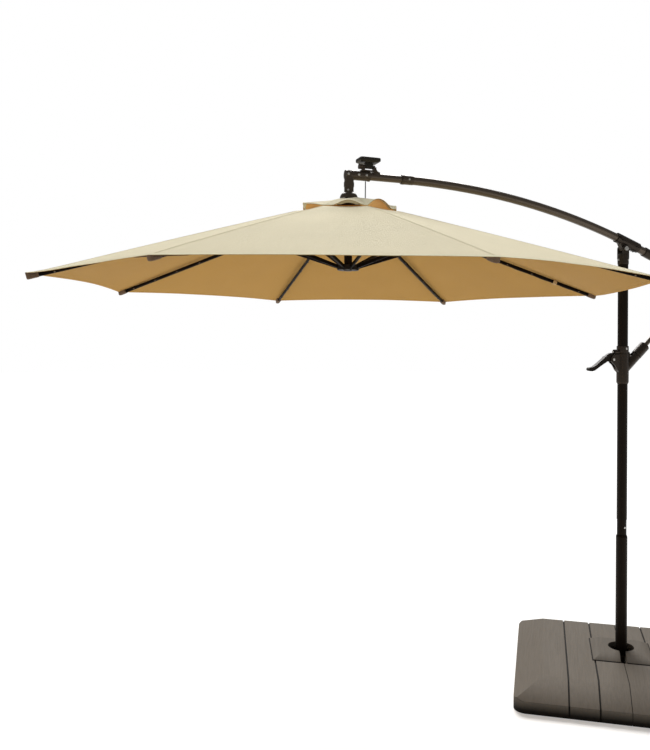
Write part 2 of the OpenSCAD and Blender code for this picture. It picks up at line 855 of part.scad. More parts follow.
// ---------- canopy frame ----------
module runner() {
    color(bracket_black) at_canopy() difference() {
        union() {
            rod_z(runner_r, runner_z - 10, runner_z + 10);
            translate([0, 0, runner_z + 10]) cylinder(r1 = runner_r, r2 = runner_r - 3, h = 3);
            translate([0, 0, runner_z - 13]) cylinder(r1 = runner_r - 3, r2 = runner_r, h = 3);
            translate([0, 0, runner_z - 16]) cylinder(r1 = 20, r2 = 24, h = 4);
        }
        rod_z(pole_r + slide_gap, runner_z + 2, runner_z + 30);
        for (i = [1:rib_count]) rotate([0, 0, rib_step * (i - 1)]) {
            block(core_r, runner_r + 5, slot_w / 2, runner_z - 30, runner_z + 30);
            translate([pivot_r, 0, runner_z]) rod_y(pin_r, slot_w + 14);
        }
    }
}

module runner_pins() {
    color(bright_steel) all_round() for (side = [-1, 1])
        translate([pivot_r, side * (slot_w / 2 + 3.5), runner_z]) rod_y(pin_r, 7);
}

module rib(i) {
    color(cloth_black) on_rib(i) difference() {
        union() {
            oval_bar(rib_w, rib_h, tube_from, rib_len);
            translate([0, 0, -tip_drop]) oval_bar(rib_w + 2, rib_h + 2, rib_len, rib_len + tip_len);
            block(0, tube_from, tongue_t / 2, -eye_r, eye_r);
            rod_y(eye_r, tongue_t);
            for (side = [-1, 1]) {
                translate([stretcher_at, side * 6, -clevis_drop]) rod_y(eye_r, 3);
                translate([stretcher_at - 8, side * 6 - 1.5, -clevis_drop]) cube([16, 3, 14]);
            }
            translate([stretcher_at, 0, -clevis_drop]) rod_y(pin_r, 17);
            for (x = [bead_first:bead_step:rib_len]) translate([x, 0, -4]) rod_y(3.5, rib_w + 3);
        }
        oval_bar(rib_w - 2.4, rib_h - 2.4, tube_from + 12, rib_len);
        rod_x(2, rib_len - 5, rib_len + 20);
        rod_y(pin_r + running, 20);
    }
}

module stretcher(i) {
    wide_from = 95;
    wide_to = stretcher_len - 30;
    color(cloth_black) on_stretcher(i) difference() {
        union() {
            oval_bar(rib_w, rib_h, wide_from, wide_to);
            rod_y(eye_r, tongue_t);
            block(0, wide_from + 5, tongue_t / 2, -eye_r, eye_r);
            block(wide_to - 5, stretcher_len, tongue_t / 2, -eye_r, eye_r);
            translate([stretcher_len, 0, 0]) rod_y(eye_r, tongue_t);
        }
        translate([stretcher_len, 0, 0]) rod_y(pin_r + running, 20);
    }
}

// ---------- canopy cloth ----------
// Point of the cloth: r along the rib, s across it in gores, half a gore each way
function cloth_point(r, s) =
    let (
        w = abs(s),
        bow = 4 * w * (1 - w),
        pull = 1 - hem_dip / canopy_r * bow * pow(r / canopy_r, 6),
        sag = cloth_sag * bow * sin(180 * (r - vent_r) / (canopy_r - vent_r)),
        across = r * w * sin(rib_step) * pull - (w > 0.45 ? 0.22 : 0)
    )
    [r * (1 - w * (1 - cos(rib_step))) * pull, sign(s) * across, cloth_z(r) - sag];

// Point of the vent cap: t from its inner edge to its corner
function cap_point(t, s) =
    let (
        w = abs(s),
        bow = 4 * w * (1 - w),
        r = cap_inner_r + (cap_r - cap_inner_r) * t,
        pull = 1 - cap_hem_dip / cap_r * bow * t,
        lift = cap_arch * bow * pow(t, 3),
        across = r * w * sin(rib_step) * pull - (w > 0.45 ? 0.22 : 0)
    )
    [r * (1 - w * (1 - cos(rib_step))) * pull, sign(s) * across,
        cap_inner_z + (cap_corner_z - cap_inner_z) * t + lift];

module canopy_panel(i) {
    rings = 10;
    across = [-0.5, -0.34, -0.17, 0, 0.17, 0.34, 0.5];
    color(cream_cloth) on_gore(i) {
        lowered_sheet([for (k = [0:rings]) [for (s = across)
            cloth_point(vent_r + (canopy_r - vent_r) * k / rings, s)]], cloth_t);
        difference() {
            lowered_sheet([for (k = [0:6]) [for (s = across) cap_point(k / 6, s)]], cloth_t);
            if (i == 1) translate([cable_route[0][0] - 1, 0, 0]) rod_z(cable_hole_r, rim_z, nose_z);
        }
    }
}

base_tank(-1);  // base_tank_left
base_tank(1);  // base_tank_right
centre_plate();
filler_caps();
cross_base();
mast_socket();
mast_lower();
mast_upper();
mast_head();
mast_fasteners();
pivot_bolt();
arm_clamp_top();
arm_clamp_bottom();
arm_tube();
arm_tail();
nose_collar();
nose_tube();
elbow();
hub_bell();
centre_pole();
crown_hub();
hub_pins();
arm_screws();
solar_saddle();
solar_cable();
solar_case();
solar_glass();
strut_rod();
strut_socket();
carriage();
carriage_fasteners();
latch_spring();
tilt_lever();
latch_pin();
runner();
runner_pins();
for (i = [1:rib_count]) {
    rib(i);
    stretcher(i);
    canopy_panel(i);
}
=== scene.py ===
"""Dresses the frame of a cantilever parasol: cloth, fittings, finishes, base and studio."""

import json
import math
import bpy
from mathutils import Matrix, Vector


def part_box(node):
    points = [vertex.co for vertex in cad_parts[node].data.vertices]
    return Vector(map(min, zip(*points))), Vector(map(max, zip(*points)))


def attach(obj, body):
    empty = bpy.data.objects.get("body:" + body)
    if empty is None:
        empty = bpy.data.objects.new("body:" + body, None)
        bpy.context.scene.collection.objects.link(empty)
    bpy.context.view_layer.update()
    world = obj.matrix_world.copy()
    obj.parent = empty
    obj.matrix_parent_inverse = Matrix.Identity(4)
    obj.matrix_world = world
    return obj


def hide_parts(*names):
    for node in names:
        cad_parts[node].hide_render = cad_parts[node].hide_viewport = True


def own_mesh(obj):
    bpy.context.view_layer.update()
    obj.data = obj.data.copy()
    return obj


bl_info = {
    "name": "Cantilever Parasol",
    "version": (1, 0, 0),
    "blender": (4, 5, 0),
    "location": "View3D > Sidebar > Parasol",
    "description": "Dresses the frame of a cantilever parasol and sets up its studio",
    "category": "Object",
}

import bmesh
import bpy
from bpy.props import FloatProperty, FloatVectorProperty, IntProperty, PointerProperty
from mathutils import Matrix, Vector, noise
from mathutils.bvhtree import BVHTree

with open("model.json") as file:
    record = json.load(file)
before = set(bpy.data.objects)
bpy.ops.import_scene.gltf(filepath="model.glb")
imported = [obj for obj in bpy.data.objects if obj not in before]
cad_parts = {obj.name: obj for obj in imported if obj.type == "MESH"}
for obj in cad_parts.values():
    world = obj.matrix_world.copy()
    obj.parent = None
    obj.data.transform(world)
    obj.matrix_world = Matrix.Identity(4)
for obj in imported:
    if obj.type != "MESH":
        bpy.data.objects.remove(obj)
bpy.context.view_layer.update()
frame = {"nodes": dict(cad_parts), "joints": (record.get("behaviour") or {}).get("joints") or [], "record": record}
NODES = frame["nodes"]
JOINTS = {joint["name"]: joint for joint in frame["joints"]}
BODY_OF = {node: body for body, nodes in frame["record"]["behaviour"]["bodies"].items() for node in nodes}

# ---------- places taken from the frame ----------
RIBS = range(1, 9)
GORE = math.radians(45)
PIVOTS = [Vector(JOINTS[f"rib_{i}_fold"]["pos_m"]) for i in RIBS]
AXIS_X = sum(p.x for p in PIVOTS) / len(PIVOTS)
PIVOT_R = PIVOTS[0].x - AXIS_X
CROWN_Z = PIVOTS[0].z
CLOTH_T = 0.0015
CANOPY_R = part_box("canopy_panel_1")[1].x - AXIS_X
RIM_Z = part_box("canopy_panel_1")[0].z + CLOTH_T
RISE = 0.400
CROWN_BULGE = 0.014
KINK_R = 0.258
VENT_DIP = 0.004
# by gore and by rib: how far the hem's middle and its corners stand up
HEM_LIFT = {1: 0.007, 4: 0.014, 5: 0.008, 6: 0.006, 7: 0.016, 8: -0.013}
CORNER_LIFT = {5: 0.009, 8: 0.003}
SLOPE = math.atan(RISE / CANOPY_R)
VENT_R = 0.150
CAP_TOP = 2.461
CAP_R = 0.245
CAP_INNER_R = 0.030
CAP_REACH = {5: 0.224, 6: 0.252, 7: 0.256, 8: 0.240}
CAP_LIFT = {5: 0.036, 6: 0.004, 7: 0.004, 8: 0.009}
# how each part of the cap falls from its top to its corner
CAP_FALL = {1: 2.0, 4: 1.3, 5: 0.9, 7: 2.2, 8: 2.6}
# start and end in the gore, rise and fullness of each arch
CAP_ARCH = {5: (0.20, 0.86, 0.002, 1.3), 6: (0.20, 0.93, 0.023, 1.3), 7: (0.03, 0.82, 0.036, 0.8)}
BASE_TURN = math.radians(-33)
PLANK_W = 0.144
GROOVE_HALF = 0.0036
GROOVE_TOP = 0.1353
SEAM_HALF = 0.0014
WELL_R = 0.0642
GRAIN_TURN = math.radians(35)
SHARP = math.radians(50)
PATCHED = (5, 6, 8)
STITCH_STEP = 0.006
STITCH_HALF = (0.0021, 0.0004)

# ---------- image points: the only pixel coordinates ----------
PHOTO = (650, 750)
IMAGE_POINTS = {
    "left_corner": (25.5, 271.0),
    "near_left_corner": (148.5, 256.0),
    "near_right_corner": (498.0, 257.5),
    "mast_side_corner": (597.0, 297.0),
    "far_middle_corner": (442.0, 303.0),
    "far_left_corner": (279.0, 301.5),
    "cap_left_tip": (304.0, 203.0),
    "cap_right_tip": (396.0, 209.0),
    "solar_right": (381.0, 160.6),
    "pivot_bolt_head": (626.0, 249.2),
    "carriage_screw": (626.2, 348.7),
    "lever_tip": (591.0, 369.5),
    "nose_screw": (408.3, 179.7),
    "closing_strap": (555.0, 282.0),
    "plate_corner": (592.5, 659.0),
    "base_ridge_corner": (541.0, 672.0),
}


# ---------- settings ----------
class ParasolCamera(bpy.types.PropertyGroup):
    """Where the photograph was taken from."""
    place: FloatVectorProperty(name="Place", description="Camera position", size=3, unit="LENGTH",
                               default=(-2.7579, -3.4484, 1.7874))
    azimuth: FloatProperty(name="Azimuth", description="Turn of the view from +Y towards +X",
                           default=math.radians(19.97), subtype="ANGLE")
    pitch: FloatProperty(name="Pitch", description="Rise of the view", default=math.radians(0.86),
                         subtype="ANGLE")
    roll: FloatProperty(name="Roll", description="Turn about the view", default=math.radians(0.6),
                        subtype="ANGLE")
    lens: FloatProperty(name="Lens", description="Focal length in millimetres", default=37.03)
    shift: FloatVectorProperty(name="Shift", description="Lens shift of the cropped photograph", size=2,
                               default=(-0.04926, -0.05893))


class ParasolCloth(bpy.types.PropertyGroup):
    """Cut and colour of the canopy's cloth."""
    sag: FloatProperty(name="Sag", description="Sag between two ribs", default=0.009, unit="LENGTH")
    hem_dip: FloatProperty(name="Hem dip", description="Dip of a hem between two corners", default=0.025,
                           unit="LENGTH")
    hem_width: FloatProperty(name="Hem width", description="Width of the sewn hem", default=0.020,
                             unit="LENGTH")
    rows: IntProperty(name="Rows", description="Mesh rows from the vent to the hem", default=44)
    columns: IntProperty(name="Columns", description="Mesh columns across half a gore", default=12)
    top: FloatVectorProperty(name="Top", description="Colour of the cloth from above", size=3,
                             subtype="COLOR", default=(0.85, 0.755, 0.50))
    # The underside colour is painted light: a golden brown for the shade under the canopy and the sunlight that
    # comes through the cloth.
    under: FloatVectorProperty(name="Underside", description="Colour of the cloth from below", size=3,
                               subtype="COLOR", default=(0.53, 0.29, 0.062))


class ParasolMetal(bpy.types.PropertyGroup):
    """Colours of the frame's finishes."""
    arm: FloatVectorProperty(name="Arm", description="Colour of the arm's coat", size=3, subtype="COLOR",
                             default=(0.036, 0.028, 0.021))
    mast: FloatVectorProperty(name="Mast", description="Colour of the mast's coat", size=3, subtype="COLOR",
                              default=(0.0048, 0.0032, 0.0022))
    casting: FloatVectorProperty(name="Castings", description="Colour of the cast fittings", size=3,
                                 subtype="COLOR", default=(0.0085, 0.0065, 0.0050))
    rib: FloatVectorProperty(name="Ribs", description="Colour of the ribs", size=3, subtype="COLOR",
                             default=(0.0045, 0.0030, 0.0021))
    edge: FloatProperty(name="Edge rounding", description="Radius of the castings' edges", default=0.0016,
                        unit="LENGTH")


class ParasolBase(bpy.types.PropertyGroup):
    """Colour of the moulded base."""
    taupe: FloatVectorProperty(name="Base", description="Colour of the moulded planks", size=3,
                               subtype="COLOR", default=(0.128, 0.111, 0.091))
    grain: FloatProperty(name="Grain depth", description="Depth of the moulded grain", default=0.0003,
                         unit="LENGTH")


class ParasolStudio(bpy.types.PropertyGroup):
    """The plain floor and its light."""
    sky: FloatProperty(name="Sky", description="Strength of the even light", default=0.30)
    key: FloatProperty(name="Key", description="Strength of the soft key light", default=4.05)


def settings(name):
    return getattr(bpy.context.scene, "parasol_" + name)


# ---------- meshes ----------
def link(obj):
    bpy.context.scene.collection.objects.link(obj)
    return obj


def mesh_object(name, points, faces, materials, uvs=None, smooth=True):
    """A mesh from points and faces; uvs gives a place in metres for each point."""
    mesh = bpy.data.meshes.new(name)
    mesh.from_pydata([tuple(p) for p in points], [], faces)
    mesh.update()
    for material in materials:
        mesh.materials.append(material)
    if uvs:
        layer = mesh.uv_layers.new(name="Cloth")
        for loop in mesh.loops:
            layer.data[loop.index].uv = uvs[loop.vertex_index]
    if smooth:
        mesh.shade_smooth()
    return link(bpy.data.objects.new(name, mesh))


def grid_faces(rows, columns, closed=False):
    """Quads of a grid of points, row by row; closed joins the last column to the first."""
    span = columns if closed else columns - 1
    return [[a * columns + b, a * columns + (b + 1) % columns, (a + 1) * columns + (b + 1) % columns,
             (a + 1) * columns + b] for a in range(rows - 1) for b in range(span)]


def turns(count):
    """Evenly spaced angles of a full turn."""
    return [math.tau * k / count for k in range(count)]


def ring_uvs(rings, across, along):
    """Places in metres for rings of points, from the step across a ring and the step along."""
    return [(across * n, along * k) for k in range(len(rings)) for n in range(len(rings[0]))]


def lofted(name, rings, materials, caps=True, uvs=None):
    """A closed skin through rings of points."""
    sides = len(rings[0])
    faces = grid_faces(len(rings), sides, closed=True)
    if caps:
        faces.append(list(range(sides))[::-1])
        faces.append([(len(rings) - 1) * sides + k for k in range(sides)])
    piece = mesh_object(name, [p for ring in rings for p in ring], faces, materials, uvs)
    shape = bmesh.new()
    shape.from_mesh(piece.data)
    bmesh.ops.recalc_face_normals(shape, faces=shape.faces)
    shape.to_mesh(piece.data)
    shape.free()
    piece.data.set_sharp_from_angle(angle=SHARP)
    return piece


def turned(name, profile, centre, material, sides=48):
    """A closed piece turned about a vertical line from (radius, height) places."""
    rings = [[Vector(centre) + Vector((r * math.cos(a), r * math.sin(a), z)) for a in turns(sides)]
             for r, z in [*profile, profile[0]]]
    return lofted(name, rings, [material], caps=False)


def applied(obj):
    """The object with its modifiers made part of its mesh."""
    shown = obj.evaluated_get(bpy.context.evaluated_depsgraph_get())
    mesh = bpy.data.meshes.new_from_object(shown)
    obj.modifiers.clear()
    obj.data = mesh
    return obj


def thickened(sheet, thickness, inner_material=0):
    """The sheet given a thickness on its inner side."""
    solid = sheet.modifiers.new("Thickness", "SOLIDIFY")
    solid.thickness = thickness
    solid.offset = -1.0
    solid.material_offset = inner_material
    return applied(sheet)


def joined(name, objects):
    """One object from several meshes, with their materials kept."""
    shape = bmesh.new()
    materials = []
    for obj in objects:
        first = len(shape.faces)
        shape.from_mesh(obj.data)
        shape.faces.ensure_lookup_table()
        for face in shape.faces[first:]:
            material = obj.data.materials[face.material_index]
            if material not in materials:
                materials.append(material)
            face.material_index = materials.index(material)
        bpy.data.objects.remove(obj)
    mesh = bpy.data.meshes.new(name)
    shape.to_mesh(mesh)
    shape.free()
    for material in materials:
        mesh.materials.append(material)
    return link(bpy.data.objects.new(name, mesh))


def rounded(node, width, material):
    """A finer copy of a CAD node with its hard edges rounded, which takes the node's place."""
    shape = bmesh.new()
    shape.from_mesh(NODES[node].data)
    bmesh.ops.remove_doubles(shape, verts=shape.verts, dist=1e-6)
    bmesh.ops.dissolve_limit(shape, angle_limit=math.radians(0.5), verts=shape.verts, edges=shape.edges)
    mesh = bpy.data.meshes.new(node + "_rounded")
    shape.to_mesh(mesh)
    shape.free()
    mesh.materials.clear()
    mesh.materials.append(material)
    piece = link(bpy.data.objects.new(node + "_rounded", mesh))
    bevel = piece.modifiers.new("Rounding", "BEVEL")
    bevel.width = width
    bevel.segments = 2
    bevel.limit_method = "ANGLE"
    bevel.angle_limit = math.radians(32)
    bevel.harden_normals = False
    level = piece.modifiers.new("Level faces", "WEIGHTED_NORMAL")
    level.weight = 90
    piece.data.shade_smooth()
    applied(piece)
    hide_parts(node)
    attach(piece, BODY_OF[node])
    return piece


def dress(node, material):
    """Gives a CAD node its finish."""
    mesh = NODES[node].data
    if not mesh.materials:
        mesh.materials.append(material)
    for k in range(len(mesh.materials)):
        mesh.materials[k] = material


# ---------- shader groups ----------
class Graph:
    """Adds nodes to a shader tree and links them."""

    def __init__(self, tree):
        self.tree = tree

    def add(self, kind, settings=None, **inputs):
        node = self.tree.nodes.new("ShaderNode" + kind)
        for key, value in (settings or {}).items():
            setattr(node, key, value)
        for key, value in inputs.items():
            socket = node.inputs[int(key[1:])] if key[0] == "i" and key[1:].isdigit() else node.inputs[key]
            self.set(socket, value)
        return node

    def set(self, socket, value):
        if isinstance(value, bpy.types.NodeSocket):
            self.tree.links.new(value, socket)
        else:
            socket.default_value = value

    def math(self, operation, a, b=0.0):
        return self.add("Math", {"operation": operation}, i0=a, i1=b).outputs[0]

    def mix(self, factor, a, b):
        node = self.add("Mix", {"data_type": "RGBA"})
        self.set(node.inputs[0], factor)
        self.set(node.inputs[6], a)
        self.set(node.inputs[7], b)
        return node.outputs[2]

    def range(self, value, low, high, to_low, to_high):
        return self.add("MapRange", None, i0=value, i1=low, i2=high, i3=to_low, i4=to_high).outputs[0]

    def above(self, value, edge, blur):
        return self.range(value, edge, edge + blur, 0.0, 1.0)

    def below(self, value, edge, blur):
        return self.range(value, edge, edge + blur, 1.0, 0.0)

    def product(self, first, *others):
        for other in others:
            first = self.math("MULTIPLY", first, other)
        return first

    def highest(self, first, *others):
        for other in others:
            first = self.math("MAXIMUM", first, other)
        return first

    def noise(self, place, scale, detail, output=0, **more):
        return self.add("TexNoise", None, Vector=place, Scale=scale, Detail=detail, **more).outputs[output]

    def stretched(self, place, scale):
        return self.add("Mapping", None, Vector=place, Scale=scale).outputs[0]

    def place(self):
        return self.add("TexCoord").outputs["Object"]


def rgba(colour, gain=1.0):
    return (colour[0] * gain, colour[1] * gain, colour[2] * gain, 1.0)


def shader_group(name, inputs, outputs, fill):
    """A node group with named sockets, filled once by a function."""
    found = bpy.data.node_groups.get(name)
    if found:
        return found
    tree = bpy.data.node_groups.new(name, "ShaderNodeTree")
    for label, kind in inputs:
        tree.interface.new_socket(name=label, in_out="INPUT", socket_type="NodeSocket" + kind)
    for label, kind in outputs:
        tree.interface.new_socket(name=label, in_out="OUTPUT", socket_type="NodeSocket" + kind)
    graph = Graph(tree)
    fill(graph, tree.nodes.new("NodeGroupInput").outputs, tree.nodes.new("NodeGroupOutput").inputs)
    return tree


def fill_coat_speckle(graph, given, out):
    """Fine orange peel of a powder coat with painted glints lightening its peel, and a little dust on what faces
    up.
    """
    place = graph.place()
    peel = graph.noise(place, 900.0, 2.0)
    broad = graph.noise(place, 7.0, 3.0)
    up = graph.add("SeparateXYZ", None, i0=graph.add("NewGeometry").outputs["Normal"]).outputs[2]
    dusty = graph.product(graph.range(up, 0.2, 1.0, 0.0, 1.0), graph.range(broad, 0.4, 0.7, 0.1, 0.6),
                          given["Dust"])
    # Painted glints: the peel's speckles are lightened towards the glint colour.
    tone = graph.mix(graph.range(peel, 0.35, 0.7, 0.0, 0.35), given["Coat"], given["Glint"])
    graph.set(out["Colour"], graph.mix(dusty, tone, (0.20, 0.18, 0.15, 1.0)))
    rough = graph.math("ADD", given["Roughness"], graph.product(dusty, 0.5))
    graph.set(out["Roughness"], graph.math("ADD", graph.range(broad, 0.3, 0.7, -0.05, 0.06), rough))
    graph.set(out["Height"], peel)


def coat_speckle():
    return shader_group("Coat speckle",
                        [("Coat", "Color"), ("Glint", "Color"), ("Roughness", "Float"), ("Dust", "Float")],
                        [("Colour", "Color"), ("Roughness", "Float"), ("Height", "Float")], fill_coat_speckle)


def fill_thread_weave(graph, given, out):
    """Plain weave over the cloth's own metre grid, with slubs and slow tone changes."""
    grid = graph.add("UVMap", {"uv_map": "Cloth"}).outputs[0]
    warp = graph.add("TexWave", {"bands_direction": "X"}, Vector=grid, Scale=given["Threads"]).outputs[1]
    weft = graph.add("TexWave", {"bands_direction": "Y"}, Vector=grid, Scale=given["Threads"]).outputs[1]
    slubs = graph.noise(graph.stretched(grid, (220.0, 9.0, 1.0)), 1.0, 2.0)
    clouds = graph.noise(grid, 3.5, 4.0)
    mask = graph.math("ADD", graph.range(slubs, 0.3, 0.7, 0.0, 0.5), graph.range(clouds, 0.3, 0.7, 0.0, 0.5))
    graph.set(out["Colour"], graph.mix(mask, given["Light"], given["Shade"]))
    graph.set(out["Height"], graph.math("ADD", graph.product(warp, weft), graph.product(clouds, 0.6)))


def thread_weave():
    return shader_group("Thread weave", [("Light", "Color"), ("Shade", "Color"), ("Threads", "Float")],
                        [("Colour", "Color"), ("Height", "Float")], fill_thread_weave)


# ---------- materials ----------
def once(make):
    """Makes a material the first time its name is asked for, and gives the same one after that."""
    def find(name, *values, **named):
        return bpy.data.materials.get(name) or make(name, *values, **named)

    return find


def new_material(name):
    """A material with its graph and its Principled shader."""
    material = bpy.data.materials.new(name)
    material.use_nodes = True
    return material, Graph(material.node_tree), material.node_tree.nodes["Principled BSDF"]


def finish(graph, shader, values, height=None, distance=0.0):
    """Sets the shader's sockets by name, and the relief where there is one."""
    for socket, value in values.items():
        graph.set(shader.inputs[socket], value)
    if height:
        bump = graph.add("Bump", None, Height=height, Distance=distance, Strength=1.0)
        graph.set(shader.inputs["Normal"], bump.outputs[0])


@once
def powder_coat(name, colour, roughness=0.42, dust=0.25, glint=1.6, peel=0.00006, gloss=0.2):
    """Powder-coated metal or moulded fittings."""
    material, graph, shader = new_material(name)
    coat = graph.add("Group", {"node_tree": coat_speckle()}, Coat=rgba(colour), Glint=rgba(colour, glint),
                     Roughness=roughness, Dust=dust)
    finish(graph, shader, {"Base Color": coat.outputs["Colour"], "Roughness": coat.outputs["Roughness"],
                           "Specular IOR Level": gloss, "Specular Tint": (1.0, 0.80, 0.64, 1.0)},
           coat.outputs["Height"], peel)
    return material


@once
def cloth_finish(name, colour, shade=0.93, threads=330.0, sheen=0.15, glow=None, strength=0.0):
    """Woven canopy cloth; glow is the colour of a painted glow, an emission that stands in for sunlight coming
    through it.
    """
    material, graph, shader = new_material(name)
    weave = graph.add("Group", {"node_tree": thread_weave()}, Light=rgba(colour), Shade=rgba(colour, shade),
                      Threads=threads)
    values = {"Base Color": weave.outputs["Colour"], "Roughness": 0.85, "Specular IOR Level": 0.25,
              "Sheen Weight": sheen, "Sheen Roughness": 0.5}
    # Painted glow: the emission stands in for sunlight that comes through the cloth.
    if glow:
        values.update({"Emission Color": rgba(glow), "Emission Strength": strength})
    finish(graph, shader, values, weave.outputs["Height"], 0.0004)
    return material


@once
def bright_metal(name, colour=(0.62, 0.60, 0.56), black_from=None):
    """Plated screws and pins with turned marks; past black_from along X they are blackened."""
    material, graph, shader = new_material(name)
    place = graph.place()
    scratch = graph.noise(place, 420.0, 4.0)
    tone, metallic = graph.mix(scratch, rgba(colour), rgba(colour, 0.7)), 1.0
    if black_from is not None:
        black = graph.above(graph.add("SeparateXYZ", None, i0=place).outputs[0], black_from, 0.01)
        tone = graph.mix(black, tone, (0.012, 0.010, 0.008, 1.0))
        metallic = graph.math("SUBTRACT", 1.0, black)
    finish(graph, shader, {"Base Color": tone, "Metallic": metallic,
                           "Roughness": graph.range(scratch, 0.3, 0.7, 0.24, 0.42)}, scratch, 0.00005)
    return material


def plank_shadows(graph, place, rim):
    """Where shade is painted on the base: its grooves, the seam of its halves, the well and below the rim; it is
    also darker towards its foot.
    """
    height = graph.add("SeparateXYZ", None, i0=place).outputs[2]
    across = graph.add("VectorMath", {"operation": "DOT_PRODUCT"}, i0=place,
                       i1=(math.cos(BASE_TURN), math.sin(BASE_TURN), 0.0)).outputs[1]
    offset = graph.math("ABSOLUTE", across)
    groove = graph.product(graph.below(graph.math("PINGPONG", across, PLANK_W / 2), GROOVE_HALF, 0.0006),
                           graph.above(offset, 0.05, 0.01), graph.below(offset, 0.30, 0.01))
    groove = graph.highest(groove, graph.below(offset, SEAM_HALF, 0.0006))
    groove = graph.product(groove, graph.below(height, GROOVE_TOP, 0.0004))
    level = graph.add("VectorMath", {"operation": "MULTIPLY"}, i0=place, i1=(1.0, 1.0, 0.0))
    from_mast = graph.add("VectorMath", {"operation": "LENGTH"}, i0=level.outputs[0]).outputs[1]
    return graph.highest(groove, graph.below(height, 0.015, 0.040), graph.below(from_mast, WELL_R, 0.0004),
                         graph.below(height, rim, 0.001))


@once
def moulded_planks(name, colour, depth, rim=0.0):
    """Taupe plastic with a moulded wood grain that runs along the planks, and painted shade where plank_shadows
    puts it.
    """
    material, graph, shader = new_material(name)
    place = graph.place()
    turned_place = graph.add("VectorRotate", {"rotation_type": "Z_AXIS"}, Vector=place,
                             Angle=GRAIN_TURN).outputs[0]
    drift = graph.noise(graph.stretched(turned_place, (7.0, 1.6, 3.0)), 1.0, 2.0, "Color")
    drift = graph.add("VectorMath", {"operation": "SCALE"}, i0=drift, Scale=0.05).outputs[0]
    bent = graph.add("VectorMath", {"operation": "ADD"}, i0=turned_place, i1=drift).outputs[0]
    lines = graph.noise(graph.stretched(bent, (150.0, 4.5, 60.0)), 1.0, 4.0, Roughness=0.6)
    rings = graph.add("TexWave", {"bands_direction": "X", "wave_profile": "SAW"}, Vector=bent, Scale=9.0,
                      Distortion=2.5, Detail=2.0).outputs[1]
    relief = graph.math("ADD", graph.range(lines, 0.35, 0.65, 0.0, 1.0), graph.product(rings, 0.35))
    tone = graph.mix(graph.range(relief, 0.2, 1.1, 0.0, 1.0), rgba(colour, 0.93), rgba(colour, 1.03))
    tone = graph.mix(graph.range(graph.noise(place, 4.0, 3.0), 0.35, 0.7, 0.0, 0.3), tone, rgba(colour, 1.12))
    # Painted shade: grooves, seam, well and the band below the rim are mixed towards a dark colour.
    dark = plank_shadows(graph, place, rim)
    finish(graph, shader, {"Base Color": graph.mix(dark, tone, rgba(colour, 0.10)),
                           "Roughness": graph.range(lines, 0.3, 0.7, 0.68, 0.60),
                           "Specular IOR Level": 0.06}, relief, depth)
    return material


@once
def cell_glass(name):
    """Dark cells with fine silver lines under a clear face."""
    material, graph, shader = new_material(name)
    place = graph.place()
    cells = graph.add("TexBrick", {"offset": 0.0, "squash": 1.0}, Vector=place, Scale=1.0,
                      Color1=(0.010, 0.016, 0.017, 1.0), Color2=(0.014, 0.022, 0.022, 1.0),
                      Mortar=(0.10, 0.11, 0.11, 1.0),
                      **{"Mortar Size": 0.0004, "Brick Width": 0.0345, "Row Height": 0.0148})
    finish(graph, shader, {"Base Color": cells.outputs["Color"], "Coat Weight": 0.6,
                           "Roughness": graph.range(graph.noise(place, 30.0, 2.0), 0.3, 0.7, 0.12, 0.26)})
    return material


@once
def lamp_lens(name):
    """Dark amber domes of the lamps, darker towards their edges as the camera sees them: painted shade."""
    material, graph, shader = new_material(name)
    # Painted shade: the facing mask darkens the domes where they turn away from the camera.
    rim = graph.add("LayerWeight", None, Blend=0.4).outputs[1]
    finish(graph, shader, {"Base Color": graph.mix(rim, (0.16, 0.11, 0.07, 1.0), (0.07, 0.05, 0.03, 1.0)),
                           "Roughness": 0.2, "Subsurface Weight": 0.2, "Subsurface Scale": 0.002})
    return material


def casting_coat():
    return powder_coat("Casting coat", [c * 1.5 for c in settings("metal").casting], 0.36, 0.05, gloss=0.32)


def mast_coat():
    return powder_coat("Mast coat", settings("metal").mast, 0.36, 0.02, gloss=0.12)


def arm_coat():
    return powder_coat("Arm coat", settings("metal").arm, 0.30, 0.06, 1.5, gloss=0.7)


def elbow_coat():
    return powder_coat("Elbow coat", [c * 0.95 for c in settings("metal").arm], 0.36, 0.06, 1.5, gloss=0.45)


def rib_coat():
    return powder_coat("Rib coat", settings("metal").rib, 0.45, 0.0, gloss=0.06)


def moulded_black():
    return powder_coat("Moulded fittings", (0.009, 0.0075, 0.006), 0.46, 0.02, 1.4, gloss=0.12)


def cable_rubber():
    return powder_coat("Cable rubber", (0.010, 0.010, 0.0095), 0.55, 0.05)


def cloth_top():
    return cloth_finish("Canopy cloth", settings("cloth").top)


# Painted light: the underside's colour stands in for the shade under the canopy and the sunlight through the
# cloth.
def cloth_under_painted_light():
    return cloth_finish("Canopy underside", settings("cloth").under, 0.90, sheen=0.05)


def hem_cloth():
    top = settings("cloth").top
    return cloth_finish("Hem cloth", [min(c * 1.06, 0.86) for c in top], 0.95)


def pocket_cloth():
    return cloth_finish("Pocket webbing", (0.060, 0.032, 0.020), 0.7, 500.0)


def tip_cloth():
    return cloth_finish("Pocket cloth", (0.17, 0.105, 0.060), 0.8, 500.0)


def cap_lining_painted_glow():
    """The vent cap's underside, lit with painted light: a brighter colour and a small glow stand in for the sun
    that comes through it.
    """
    return cloth_finish("Vent cap lining", (0.72, 0.42, 0.14), 0.90, sheen=0.05, glow=(0.72, 0.40, 0.13),
                        strength=0.28)


# Painted shade: the strap's own webbing colour is darkened and warmed for the shade under the canopy.
def strap_cloth_painted_shade():
    return cloth_finish("Strap webbing", (0.62, 0.42, 0.20), 0.85, 500.0)


